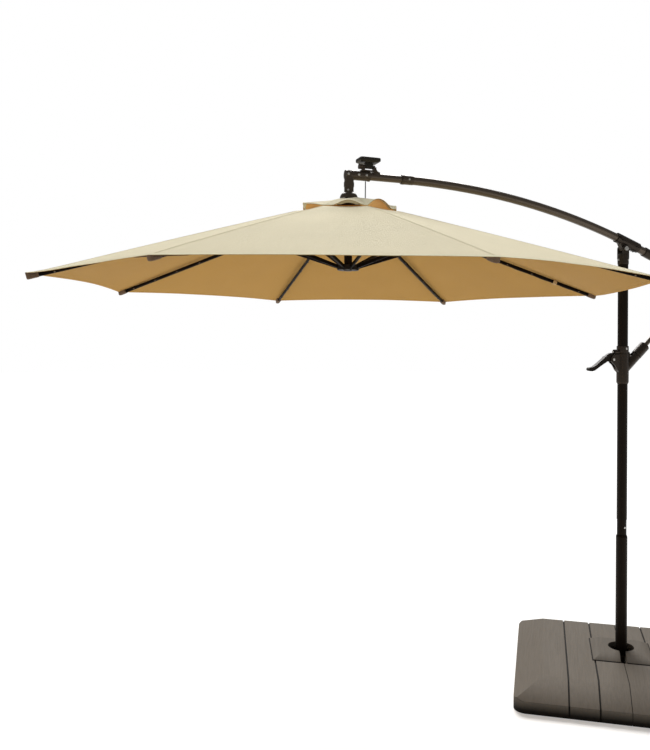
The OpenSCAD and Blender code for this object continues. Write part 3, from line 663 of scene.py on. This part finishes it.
# ---------- camera and image points ----------
def make_camera():
    """The photograph's camera, a level room's view with a small roll."""
    given = settings("camera")
    ahead = Vector((math.cos(given.pitch) * math.sin(given.azimuth),
                    math.cos(given.pitch) * math.cos(given.azimuth), math.sin(given.pitch)))
    level = Vector((math.cos(given.azimuth), -math.sin(given.azimuth), 0.0))
    right = level * math.cos(given.roll) + level.cross(ahead) * math.sin(given.roll)
    up = right.cross(ahead)
    data = bpy.data.cameras.new("Photo camera")
    data.sensor_fit = "AUTO"
    data.sensor_width = 36.0
    data.lens = given.lens
    data.shift_x, data.shift_y = given.shift
    camera = link(bpy.data.objects.new("Photo camera", data))
    turn = Matrix((right, up, -ahead)).transposed().to_4x4()
    camera.matrix_world = Matrix.Translation(Vector(given.place)) @ turn
    bpy.context.scene.camera = camera
    bpy.context.view_layer.update()


def ray_through(x, y):
    """Start and direction of the camera's ray through an image point."""
    camera = bpy.context.scene.camera
    width, height = PHOTO
    long_side = max(PHOTO)
    data = camera.data
    aim = Vector((x - width / 2 + data.shift_x * long_side, height / 2 - y + data.shift_y * long_side,
                  -long_side * data.lens / data.sensor_width))
    return camera.matrix_world.translation.copy(), (camera.matrix_world.to_3x3() @ aim).normalized()


def image_of(point):
    """Image point of a place in the row frame."""
    camera = bpy.context.scene.camera
    data = camera.data
    width, height = PHOTO
    long_side = max(PHOTO)
    seen = camera.matrix_world.inverted() @ Vector(point)
    scale = long_side * data.lens / data.sensor_width / -seen.z
    return (seen.x * scale + width / 2 - data.shift_x * long_side,
            height / 2 + data.shift_y * long_side - seen.y * scale)


def placed(name, carriers):
    """Where the ray of an image point meets what carries the piece, or the carrier's place nearest to it."""
    start, aim = ray_through(*IMAGE_POINTS[name])
    shape = bmesh.new()
    for obj in carriers:
        shape.from_mesh(obj.data)
    tree = BVHTree.FromBMesh(shape)
    hit = tree.ray_cast(start, aim)[0]
    if hit is None:
        hit = min((vert.co.copy() for vert in shape.verts), key=lambda p: (p - start).cross(aim).length)
    shape.free()
    return hit


# ---------- canopy geometry ----------
def gore_place(i, x, y, z):
    """A place given along, across and up from rib i, counted from the canopy's axis."""
    turn = GORE * (i - 1)
    return Vector((AXIS_X + x * math.cos(turn) - y * math.sin(turn),
                   x * math.sin(turn) + y * math.cos(turn), z))


def rib_place(i, along, across=0.0, up=0.0):
    """A place on rib i: along it from its crown pivot, across it, and square to it."""
    x = PIVOT_R + along * math.cos(SLOPE) + up * math.sin(SLOPE)
    return gore_place(i, x, across, CROWN_Z - along * math.sin(SLOPE) + up * math.cos(SLOPE))


def tangent(i):
    turn = GORE * (i - 1)
    return Vector((-math.sin(turn), math.cos(turn), 0.0))


def line_z(r):
    """Height of the cloth over a rib: it bulges over the straight rib and lies flatter round the vent."""
    straight = RIM_Z + RISE * (1 - r / CANOPY_R)
    if r >= KINK_R:
        return straight + CROWN_BULGE * (1 - ((r - KINK_R) / (CANOPY_R - KINK_R)) ** 2)
    return straight + CROWN_BULGE - (CROWN_BULGE + VENT_DIP) * (KINK_R - r) / (KINK_R - VENT_R)


def gore_of(i, s):
    """The gore between two ribs that a place beside rib i lies in."""
    return i if s >= 0 else (i - 2) % 8 + 1


def cloth_place(i, r, s):
    """A place of the canopy: r along the rib, s across it in gores, half a gore each way."""
    given = settings("cloth")
    w = abs(s)
    bow = 4 * w * (1 - w)
    reach = r / CANOPY_R
    pull = 1 - given.hem_dip / CANOPY_R * bow * reach ** 6
    out = (r - VENT_R) / (CANOPY_R - VENT_R)
    sag = given.sag * bow * math.sin(math.pi * max(out, 0.0))
    lift = HEM_LIFT.get(gore_of(i, s), 0.010) * bow * reach ** 4
    x = r * (1 - w * (1 - math.cos(GORE))) * pull
    y = math.copysign(r * w * math.sin(GORE) * pull, s)
    lift += CORNER_LIFT.get(i, 0.0) * (1 - w) ** 8 * reach ** 30
    place = gore_place(i, x, y, line_z(r) - sag + lift)
    tension = 0.0011 * bow * reach * math.cos(14 * math.pi * w) * max(math.sin(math.pi * out), 0.0)
    place.z += tension + 0.0022 * bow * noise.noise(place * 3.1)
    return place


def cap_place(i, t, s):
    """A place of the vent cap: t from its inner edge to its hem, s across as on the canopy."""
    gore = gore_of(i, s)
    across = s if s >= 0 else 1 + s
    ends = []
    for rib in (gore, gore % 8 + 1):
        corner_r = CAP_REACH.get(rib, CAP_R)
        corner_z = line_z(corner_r) + CAP_LIFT.get(rib, 0.006)
        fall = CAP_FALL.get(rib, 1.5)
        ends.append(gore_place(rib, CAP_INNER_R + (corner_r - CAP_INNER_R) * t, 0.0,
                               CAP_TOP - (CAP_TOP - corner_z) * max(t, 0.0) ** fall))
    low, high, rise, fullness = CAP_ARCH.get(gore, (0.14, 0.86, 0.032, 1.3))
    arch = math.sin(math.pi * min(max((across - low) / (high - low), 0.0), 1.0))
    place = ends[0].lerp(ends[1], across)
    place.z += rise * max(arch, 0.0) ** fullness * t ** 4
    return place


def spread(count, low=-0.5, high=0.5):
    return [low + (high - low) * k / count for k in range(count + 1)]


def cloth_sheet(name, place, along, across, length, width, lining=None):
    """A two-sided cloth from a function of the panel; its inner side takes the second material."""
    points = [place(a, s) for a in along for s in across]
    uvs = [(s * width, (a - along[0]) / (along[-1] - along[0]) * length) for a in along for s in across]
    faces = [face[::-1] for face in grid_faces(len(along), len(across))]
    sheet = mesh_object(name, points, faces, [cloth_top(), lining or cloth_under_painted_light()], uvs)
    area = sum(face.area for face in sheet.data.polygons)
    thickened(sheet, CLOTH_T * 0.8, 1)
    sheet.data.set_sharp_from_angle(angle=SHARP)
    return sheet, area


def row(place, i, reach, across, up=0.0):
    """Places across a part of the cloth or cap, all at one reach from its middle."""
    return [place(i, reach, s) + Vector((0, 0, up)) for s in across]


def seam_section(half, shoulder, low, side, top):
    """Across and up of a felled seam: its two edges, shoulders and ridge."""
    return [(-half, low), (-half * shoulder, side), (0.0, top), (half * shoulder, side), (half, low)]


def edge_band(name, edge, inner, thick, material):
    """A sewn band that wraps a cloth's edge: edge and inner are two lists of places along it."""
    rings = []
    for k in range(len(edge)):
        inward = (inner[k] - edge[k]).normalized()
        ahead = edge[min(k + 1, len(edge) - 1)] - edge[max(k - 1, 0)]
        up = inward.cross(ahead).normalized()
        up = up if up.z > 0 else -up
        width = (inner[k] - edge[k]).length
        drop = Vector((0, 0, -CLOTH_T * 0.4))
        upper = [(width, 0.5), (width * 0.92, 1.0), (width * 0.1, 1.05), (-0.0008, 0.6)]
        section = [*upper, (-0.0012, 0.0), *((a, -b) for a, b in reversed(upper))]
        rings.append([edge[k] + inward * a + up * (b * thick) + drop for a, b in section])
    uvs = []
    travelled = 0.0
    for k, ring in enumerate(rings):
        travelled += (edge[k] - edge[k - 1]).length if k else 0.0
        uvs += [(travelled, 0.003 * n) for n in range(len(ring))]
    band = lofted(name, rings, [material, cloth_under_painted_light()], uvs=uvs)
    sides = len(rings[0])
    for k in range(sides * (len(rings) - 1)):
        if k % sides >= sides // 2:
            band.data.polygons[k].material_index = 1
    return band


def stitches(name, line, height, material):
    """A row of short raised threads along a line of places."""
    points, faces = [], []
    sides = ((4, 5, 6, 7), (0, 1, 5, 4), (1, 2, 6, 5), (2, 3, 7, 6), (3, 0, 4, 7), (3, 2, 1, 0))
    up = Vector((0, 0, 1))
    lengths = [(line[k + 1] - line[k]).length for k in range(len(line) - 1)]
    for n in range(int(sum(lengths) / STITCH_STEP)):
        at, k = (n + 0.5) * STITCH_STEP, 0
        while k < len(lengths) - 1 and at > lengths[k]:
            at -= lengths[k]
            k += 1
        ahead = (line[k + 1] - line[k]).normalized()
        side = ahead.cross(up).normalized()
        centre = line[k] + ahead * at
        first = len(points)
        for long, wide, level in ((1, 1, 0), (0.6, 0.5, 1)):
            for a, b in ((-1, -1), (1, -1), (1, 1), (-1, 1)):
                points.append(centre + ahead * (a * long * STITCH_HALF[0])
                              + side * (b * wide * STITCH_HALF[1]) + up * (level * height))
        faces += [[first + m for m in face] for face in sides]
    return mesh_object(name, points, faces, [material], [(p.x, p.y) for p in points])


def crumple(piece, i):
    """The piece rides on rib i, with a mesh of its own."""
    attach(piece, f"spoke_{i}")
    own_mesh(piece)


# ---------- pieces ----------
class PARASOL_OT_camera(bpy.types.Operator):
    """Set up the photograph's camera"""
    bl_idname = "parasol.camera"
    bl_label = "Camera"

    def execute(self, context):
        make_camera()
        return {"FINISHED"}


class PARASOL_OT_cable(bpy.types.Operator):
    """Lay the lamp cable from the elbow through the vent cap to the crown hub"""
    bl_idname = "parasol.cable"
    bl_label = "Lamp cable"
    route = ((0.083, 2.5555), (0.083, 2.53), (0.083, 2.505), (0.083, 2.48), (0.083, 2.466), (0.0825, 2.459),
             (0.08, 2.453), (0.075, 2.449), (0.068, 2.447), (0.06, 2.447), (0.056, 2.447))

    def execute(self, context):
        curve = bpy.data.curves.new("lamp_cable", "CURVE")
        curve.dimensions = "3D"
        curve.bevel_depth = 0.0025
        curve.bevel_resolution = 3
        spline = curve.splines.new("POLY")
        spline.points.add(len(self.route) - 1)
        for point, (r, z) in zip(spline.points, self.route):
            point.co = (AXIS_X + r, 0.0, z, 1.0)
        length = sum((Vector(b) - Vector(a)).length for a, b in zip(self.route, self.route[1:]))
        cable = link(bpy.data.objects.new("lamp_cable", curve))
        curve.materials.append(cable_rubber())
        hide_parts("solar_cable")
        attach(cable, "arm")
        return {"FINISHED"}


class PARASOL_OT_canopy(bpy.types.Operator):
    """Sew the canopy: cloth, hems, seams and corner pockets, a part on each rib"""
    bl_idname = "parasol.canopy"
    bl_label = "Canopy"

    def execute(self, context):
        given = settings("cloth")
        along = spread(6, VENT_R, KINK_R)[:-1] + spread(given.rows, KINK_R, CANOPY_R)
        across = spread(2 * given.columns)
        slant = (CANOPY_R - VENT_R) / math.cos(SLOPE)
        width = CANOPY_R * math.sin(GORE)
        for i in RIBS:
            panel, area = cloth_sheet(f"canopy_cloth_{i}", lambda r, s: cloth_place(i, r, s), along, across,
                                      slant, width)
            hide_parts(f"canopy_panel_{i}")
            hem = edge_band(f"canopy_hem_{i}", row(cloth_place, i, CANOPY_R, across),
                            row(cloth_place, i, CANOPY_R - given.hem_width, across), 0.0016, hem_cloth())
            binding = edge_band(f"vent_binding_{i}", row(cloth_place, i, VENT_R, across),
                                row(cloth_place, i, VENT_R + 0.012, across), 0.0012, hem_cloth())
            lip, _ = cloth_sheet(f"vent_lip_{i}", lambda a, s: cloth_place(i, VENT_R + 0.0008, s)
                                 + Vector((0, 0, 0.0075 * a)), spread(2, -0.2, 1.0), across, 0.01, width,
                                 cloth_under_painted_light())
            extras = [hem, binding, lip, self.seam(i), self.pocket(i), self.hem_thread(i, across)]
            if i in PATCHED:
                extras.append(self.patch(i))
            for piece in (panel, *extras):
                crumple(piece, i)
        return {"FINISHED"}

    def seam(self, i):
        """The felled seam over a rib, with its two rows of stitches."""
        along = spread(60, VENT_R + 0.004, CANOPY_R - 0.024)
        section = seam_section(0.0040, 0.85, -0.0004, 0.0005, 0.0008)
        fall = 0.11
        rings = [[cloth_place(i, r, 0) + tangent(i) * a + Vector((0, 0, b - abs(a) * fall))
                  for a, b in section] for r in along]
        strip = lofted(f"rib_seam_{i}", rings, [cloth_top()],
                       uvs=[(0.003 * n, r) for r in along for n in range(len(section))])
        rows = []
        for side in (-1, 1):
            line = [ring[2 + side] + Vector((0, 0, 0.0001)) for ring in rings]
            rows.append(stitches(f"seam_thread_{i}_{side}", line, 0.0004, hem_cloth()))
        return joined(f"rib_seam_{i}", [strip, *rows])

    def hem_thread(self, i, across):
        """The stitches along the hem's inner edge."""
        reach = CANOPY_R - settings("cloth").hem_width * 0.82
        return stitches(f"hem_thread_{i}", row(cloth_place, i, reach, across, 0.0012), 0.0005, cloth_top())

    def patch(self, i):
        """The dark webbing sewn under a corner, widest along the hem."""
        points, rows, side = [], 7, 8
        columns = 2 * side + 1
        for k in range(rows):
            u = k / (rows - 1)
            r = CANOPY_R - 0.003 - 0.055 * u
            half = (0.095 * (1 - u) ** 1.5 + 0.014) / (r * math.sin(GORE))
            for n in range(-side, side + 1):
                under = 0.0026 + 0.003 * (1 - u) * (1 - abs(n) / side)
                points.append(cloth_place(i, r, half * n / side) - Vector((0, 0, under)))
        sheet = mesh_object(f"corner_patch_{i}", points, grid_faces(rows, columns), [pocket_cloth()],
                            [(0.01 * (n % columns), 0.01 * (n // columns)) for n in range(len(points))])
        return thickened(sheet, 0.0012)

    def pocket(self, i):
        """The webbing pocket that takes the end of a rib."""
        rings = []
        shoulder = -0.002
        for along, wide, deep in ((1.362, 0.0118, 0.0125), (1.366, 0.0125, 0.0142), (1.385, 0.0122, 0.0148),
                                  (1.400, 0.0116, 0.0148), (1.408, 0.0105, 0.0140), (1.4115, 0.006, 0.011)):
            top = 0.0088 + CORNER_LIFT.get(i, 0.0) * 0.9 * (along / CANOPY_R) ** 30
            bottom = [(-wide * math.cos(turn), -deep * 0.45 - deep * 0.32 * math.sin(turn))
                      for turn in [math.pi * k / 6 for k in range(7)]]
            section = [(-wide, top), (-wide, shoulder), *bottom, (wide, shoulder), (wide, top)]
            rings.append([rib_place(i, along, across, up) for across, up in section])
        return lofted(f"corner_pocket_{i}", rings, [tip_cloth()], uvs=ring_uvs(rings, 0.005, 0.02))


class PARASOL_OT_vent_cap(bpy.types.Operator):
    """Sew the arched vent cap, a part on each rib"""
    bl_idname = "parasol.vent_cap"
    bl_label = "Vent cap"

    def execute(self, context):
        across = spread(20)
        along = spread(14, 0.0, 1.0)
        width = CAP_R * math.sin(GORE)
        slant = math.hypot(CAP_R - CAP_INNER_R, CAP_TOP - line_z(CAP_R))
        for i in RIBS:
            cap, area = cloth_sheet(f"vent_cap_{i}", lambda t, s: cap_place(i, t, s), along, across, slant,
                                    width, cap_lining_painted_glow())
            hem = edge_band(f"vent_hem_{i}", row(cap_place, i, 1.0, across), row(cap_place, i, 0.94, across),
                            0.0014, hem_cloth())
            rings = [[cap_place(i, t, 0) + tangent(i) * a + Vector((0, 0, b))
                      for a, b in seam_section(0.005, 0.8, -0.0002, 0.0008, 0.0012)]
                     for t in spread(12, 0.02, 0.95)]
            seam = lofted(f"cap_seam_{i}", rings, [hem_cloth()], uvs=ring_uvs(rings, 0.003, 0.01))
            extras = [hem, seam, self.facing(i, across)] + ([self.corner_fold(i)] if i == 5 else [])
            for piece in (cap, *extras):
                crumple(piece, i)
        self.grommet()
        return {"FINISHED"}

    def facing(self, i, across):
        """The cap's turned-in hem, which hangs a little inside the arch."""
        def place(a, s):
            edge = cap_place(i, 0.99, s)
            inward = Vector((AXIS_X - edge.x, -edge.y, 0))
            clear = edge.z - line_z(inward.length) - 0.006
            hang = 0.011 if gore_of(i, s) == 6 else 0.002
            return edge + inward.normalized() * (0.010 * a) - Vector((0, 0, min(hang, max(clear, 0.001)) * a))

        return cloth_sheet(f"vent_facing_{i}", place, spread(3, 0.0, 1.0), across, 0.012, 0.17,
                           cap_lining_painted_glow())[0]

    def corner_fold(self, i):
        """The cap's corner that stands off the cloth, folded down to its tie."""
        reach = 0.211
        tie = gore_place(i, reach, 0.0, line_z(reach) + 0.003)
        outward = (tie - Vector((AXIS_X, 0, tie.z))).normalized()

        def place(a, s):
            down = cap_place(i, 1.0, s).lerp(tie + tangent(i) * (s * 0.02), a)
            return down + outward * (0.004 * math.sin(math.pi * a))

        return cloth_sheet(f"cap_corner_{i}", place, spread(6, 0.0, 1.0), spread(12, -0.2, 0.2), 0.03,
                           0.06)[0]

    def grommet(self):
        """The rubber ring in the cap that the lamp cable goes through."""
        cable_r = PARASOL_OT_cable.route[0][0]
        at = cap_place(1, (cable_r - CAP_INNER_R) / (CAP_R - CAP_INNER_R), 0)
        section = [(0.0052 + 0.0022 * math.cos(a), 0.0018 * math.sin(a)) for a in turns(10)]
        ring = turned("cable_grommet", section, at, cable_rubber(), 20)
        crumple(ring, 1)


class PARASOL_OT_strap(bpy.types.Operator):
    """Loop the closing strap round the rib on the mast's side"""
    bl_idname = "parasol.strap"
    bl_label = "Closing strap"

    def execute(self, context):
        hit = placed("closing_strap", [NODES["rib_1"]])
        along = (hit.x - AXIS_X - PIVOT_R) / math.cos(SLOPE)
        half, thick = 0.011, 0.0009
        wide, deep = 0.0085, 0.0115
        section = ((-half, 0.0), (-half, thick), (0.0, thick * 1.4), (half, thick), (half, 0.0))
        rings = []
        for turn in [*turns(24), math.tau]:
            y, z = wide * math.sin(turn), deep * math.cos(turn) - 0.0012
            rings.append([rib_place(1, along + a, y * (1 + b / wide), z * (1 + b / deep))
                          for a, b in section])
        loop = lofted("closing_strap_loop", rings, [strap_cloth_painted_shade()], caps=False,
                      uvs=ring_uvs(rings, 0.004, 0.003))
        flap = [[rib_place(1, along + a * 0.9, 0.0098 + 0.0012 * b, -0.009 + 0.016 * k / 6)
                 for a, b in ((-half, 0.0), (-half, 1.0), (half, 1.0), (half, 0.0))] for k in range(7)]
        end = lofted("closing_strap_end", flap, [strap_cloth_painted_shade()], uvs=ring_uvs(flap, 0.005, 0.003))
        strap = joined("closing_strap", [loop, end])
        strap.data.shade_smooth()
        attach(strap, "spoke_1")
        return {"FINISHED"}


class PARASOL_OT_lamps(bpy.types.Operator):
    """Set the lamp lenses and their wire along each rib"""
    bl_idname = "parasol.lamps"
    bl_label = "Lamps"

    def execute(self, context):
        places = [0.25 + 0.15 * k for k in range(8)]
        for i in RIBS:
            domes = [self.dome(i, along, side) for along in places for side in (-1, 1)]
            lenses = joined(f"lamp_lenses_{i}", domes)
            lenses.data.shade_smooth()
            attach(lenses, f"spoke_{i}")
            wire = self.wire(i, places)
            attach(wire, f"spoke_{i}")
            dress(f"rib_{i}", rib_coat())
            dress(f"stretcher_{i}", rib_coat())
        return {"FINISHED"}

    def dome(self, i, along, side):
        """One lens on a side of the rib."""
        rings = []
        for lift in spread(4, 0.0, math.pi / 2):
            r, out = 0.0037 * math.cos(lift) + 0.0001, 0.0075 + 0.0028 * math.sin(lift)
            rings.append([rib_place(i, along + r * math.cos(a), side * out, -0.004 + r * math.sin(a))
                          for a in turns(12)])
        return lofted("lens", rings, [lamp_lens("Lamp lens")])

    def wire(self, i, places):
        """A thin wire clipped to the rib's side between the lamps."""
        rings = []
        stops, thick = [0.06] + places, 0.0011
        for a, b in zip(stops, stops[1:]):
            for k in range(8):
                t = k / 8
                along = a + (b - a) * t
                up = -0.004 - 0.0035 * math.sin(math.pi * t)
                rings.append([rib_place(i, along, 0.0074 + thick * math.cos(c), up + thick * math.sin(c))
                              for c in turns(6)])
        return lofted(f"lamp_wire_{i}", rings, [cable_rubber()])


class PARASOL_OT_fittings(bpy.types.Operator):
    """Round and finish the cast and moulded fittings"""
    bl_idname = "parasol.fittings"
    bl_label = "Fittings"

    def execute(self, context):
        edge = settings("metal").edge
        for coat, nodes in ((casting_coat, ("arm_clamp_top", "arm_clamp_bottom", "mast_head", "strut_socket",
                                            "carriage", "arm_tail", "mast_socket")),
                            (elbow_coat, ("nose_collar", "elbow", "solar_saddle")),
                            (moulded_black, ("crown_hub", "runner", "tilt_lever"))):
            for node in nodes:
                rounded(node, edge, coat())
        outside = [(0.0225, 0.0), (0.0230, -0.0030), (0.0270, -0.0055), (0.0330, -0.0090), (0.0380, -0.0145),
                   (0.0412, -0.0215), (0.0425, -0.0290), (0.0420, -0.0310)]
        inside = [(0.0370, -0.0310), (0.0360, -0.0280), (0.0196, -0.0280), (0.0196, 0.0)]
        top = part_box("hub_bell")[1].z
        bell = turned("hub_bell_long", outside + inside, (AXIS_X, 0, top), elbow_coat())
        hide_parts("hub_bell")
        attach(bell, BODY_OF["hub_bell"])
        return {"FINISHED"}


class PARASOL_OT_tubes(bpy.types.Operator):
    """Finish the tubes, pins, screws and the spring"""
    bl_idname = "parasol.tubes"
    bl_label = "Tubes and fasteners"

    def execute(self, context):
        for node in ("mast_lower", "mast_upper", "centre_pole", "cross_base"):
            dress(node, mast_coat())
        for node in ("arm_tube", "nose_tube", "strut_rod"):
            dress(node, arm_coat())
        for node in ("mast_fasteners", "pivot_bolt", "hub_pins", "carriage_fasteners", "latch_spring",
                     "latch_pin", "runner_pins"):
            dress(node, bright_metal("Plated steel"))
        dress("arm_screws", bright_metal("Arm screws", black_from=-0.3))
        return {"FINISHED"}


class PARASOL_OT_solar(bpy.types.Operator):
    """Finish the solar unit"""
    bl_idname = "parasol.solar"
    bl_label = "Solar unit"

    def execute(self, context):
        case_coat = powder_coat("Solar case", (0.022, 0.022, 0.019), 0.42, 0.04, 1.4, gloss=0.15)
        rounded("solar_case", 0.002, case_coat)
        dress("solar_glass", cell_glass("Solar cells"))
        return {"FINISHED"}


class PARASOL_OT_base(bpy.types.Operator):
    """Finish the moulded base"""
    bl_idname = "parasol.base"
    bl_label = "Base"

    def execute(self, context):
        given = settings("base")
        planks = moulded_planks("Moulded planks", given.taupe, given.grain)
        for node in ("base_tank_left", "base_tank_right"):
            rounded(node, 0.007, planks)
        plate = moulded_planks("Moulded plate", [c * 0.85 for c in given.taupe], given.grain * 0.5,
                               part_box("base_tank_left")[1].z + 0.0035)
        rounded("centre_plate", 0.003, plate)
        rounded("filler_caps", 0.0015, moulded_black())
        return {"FINISHED"}


class PARASOL_OT_stage(bpy.types.Operator):
    """Lay the pale floor and set the soft studio light"""
    bl_idname = "parasol.stage"
    bl_label = "Stage"

    def execute(self, context):
        given = settings("studio")
        half = 40
        floor = mesh_object("floor", [(-half, -half, 0), (half, -half, 0), (half, half, 0), (-half, half, 0)],
                            [[0, 1, 2, 3]], [self.floor_finish()], smooth=False)
        floor.location.z = -0.0005
        world = bpy.data.worlds.new("Studio")
        context.scene.world = world
        world.use_nodes = True
        graph = Graph(world.node_tree)
        back = world.node_tree.nodes["Background"]
        back.inputs["Color"].default_value = (1.0, 1.0, 1.0, 1.0)
        path = graph.add("LightPath").outputs
        seen = graph.highest(path["Is Camera Ray"], path["Is Transmission Ray"])
        graph.set(back.inputs["Strength"], graph.range(seen, 0.0, 1.0, given.sky, 1.0))
        self.sun("Key", given.key, azimuth=70, height=46, softness=35)
        context.scene.view_settings.view_transform = "Standard"
        return {"FINISHED"}

    def sun(self, name, strength, azimuth, height, softness):
        """A soft distant light from an azimuth (from +X towards +Y) and a height, in degrees."""
        data = bpy.data.lights.new(name, "SUN")
        data.energy = strength
        data.angle = math.radians(softness)
        lamp = link(bpy.data.objects.new(name, data))
        lamp.rotation_euler = (math.radians(90 - height), 0, math.radians(azimuth + 90))

    def floor_finish(self):
        """Pale floor that shows white to the camera but keeps the shadow."""
        material, graph, shader = new_material("Pale floor")
        path = graph.add("LightPath").outputs
        seen = graph.highest(path["Is Camera Ray"], path["Is Glossy Ray"], path["Is Transmission Ray"])
        finish(graph, shader, {"Base Color": (0.78, 0.78, 0.77, 1.0), "Roughness": 0.95,
                               "Specular IOR Level": 0.0, "Emission Color": (1.0, 1.0, 1.0, 1.0),
                               "Emission Strength": graph.product(seen, 0.3)})
        return material


class PARASOL_PT_panel(bpy.types.Panel):
    """Lists the parasol's settings and pieces"""
    bl_label = "Parasol"
    bl_idname = "PARASOL_PT_panel"
    bl_space_type = "VIEW_3D"
    bl_region_type = "UI"
    bl_category = "Parasol"

    def draw(self, context):
        for name in SETTINGS:
            box = self.layout.box()
            for key in SETTINGS[name].__annotations__:
                box.prop(settings(name), key)
        for operator in PIECES:
            self.layout.operator(operator.bl_idname)


SETTINGS = {"camera": ParasolCamera, "cloth": ParasolCloth, "metal": ParasolMetal, "base": ParasolBase,
            "studio": ParasolStudio}
PIECES = (PARASOL_OT_camera, PARASOL_OT_cable, PARASOL_OT_canopy, PARASOL_OT_vent_cap, PARASOL_OT_strap,
          PARASOL_OT_lamps, PARASOL_OT_fittings, PARASOL_OT_tubes, PARASOL_OT_solar, PARASOL_OT_base,
          PARASOL_OT_stage)


def register():
    for group in SETTINGS.values():
        bpy.utils.register_class(group)
    for operator in (*PIECES, PARASOL_PT_panel):
        bpy.utils.register_class(operator)
    for name, group in SETTINGS.items():
        setattr(bpy.types.Scene, "parasol_" + name, PointerProperty(type=group))


def unregister():
    for name in SETTINGS:
        delattr(bpy.types.Scene, "parasol_" + name)
    for operator in (PARASOL_PT_panel, *reversed(PIECES)):
        bpy.utils.unregister_class(operator)
    for group in SETTINGS.values():
        bpy.utils.unregister_class(group)


# ---------- what the image points show ----------
def vertices(*names):
    return [obj.matrix_world @ vert.co for obj in (bpy.data.objects[name] for name in names)
            for vert in obj.data.vertices]


def middle(points):
    low = Vector([min(p[k] for p in points) for k in range(3)])
    high = Vector([max(p[k] for p in points) for k in range(3)])
    return (low + high) / 2


def corner(i):
    return cloth_place(i, CANOPY_R, 0)


def base_corner(*names):
    """The near left corner of the level top, along the turned base's own sides."""
    turn = Matrix.Rotation(-BASE_TURN, 3, "Z")
    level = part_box("base_tank_left")[1].z
    return min((p for p in vertices(*names) if p.z > level - 0.002), key=lambda p: sum((turn @ p)[:2]))


def write_points():
    """Works out where each shown thing falls in the image."""
    head_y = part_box("pivot_bolt")[0].y
    screw_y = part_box("carriage_fasteners")[0].y
    shown = {
        "left_corner": corner(5),
        "near_left_corner": corner(6),
        "near_right_corner": corner(7),
        "mast_side_corner": corner(1),
        "far_middle_corner": corner(2),
        "far_left_corner": corner(3),
        "cap_left_tip": min(vertices("vent_hem_5", "vent_hem_6"), key=lambda p: image_of(p)[0]),
        "cap_right_tip": max(vertices("vent_hem_8"), key=lambda p: image_of(p)[0]),
        "solar_right": max(vertices("solar_case_rounded"), key=lambda p: image_of(p)[0]),
        "pivot_bolt_head": middle([p for p in vertices("pivot_bolt") if p.y < head_y + 0.006]),
        "carriage_screw": middle([p for p in vertices("carriage_fasteners") if p.y < screw_y + 0.003]),
        "lever_tip": min(vertices("tilt_lever_rounded"), key=lambda p: image_of(p)[0]),
        "nose_screw": middle([p for p in vertices("arm_screws") if -1.29 < p.x < -1.26]),
        "closing_strap": middle([p for p in vertices("closing_strap")]),
        "plate_corner": base_corner("centre_plate_rounded"),
        "base_ridge_corner": base_corner("base_tank_left_rounded", "base_tank_right_rounded"),
    }
    for name, place in shown.items():
        seen = image_of(place)


def main():
    register()
    for operator in PIECES:
        group, name = operator.bl_idname.split(".")
        getattr(getattr(bpy.ops, group), name)()
    bpy.context.view_layer.update()
    write_points()


if __name__ == "__main__":
    main()
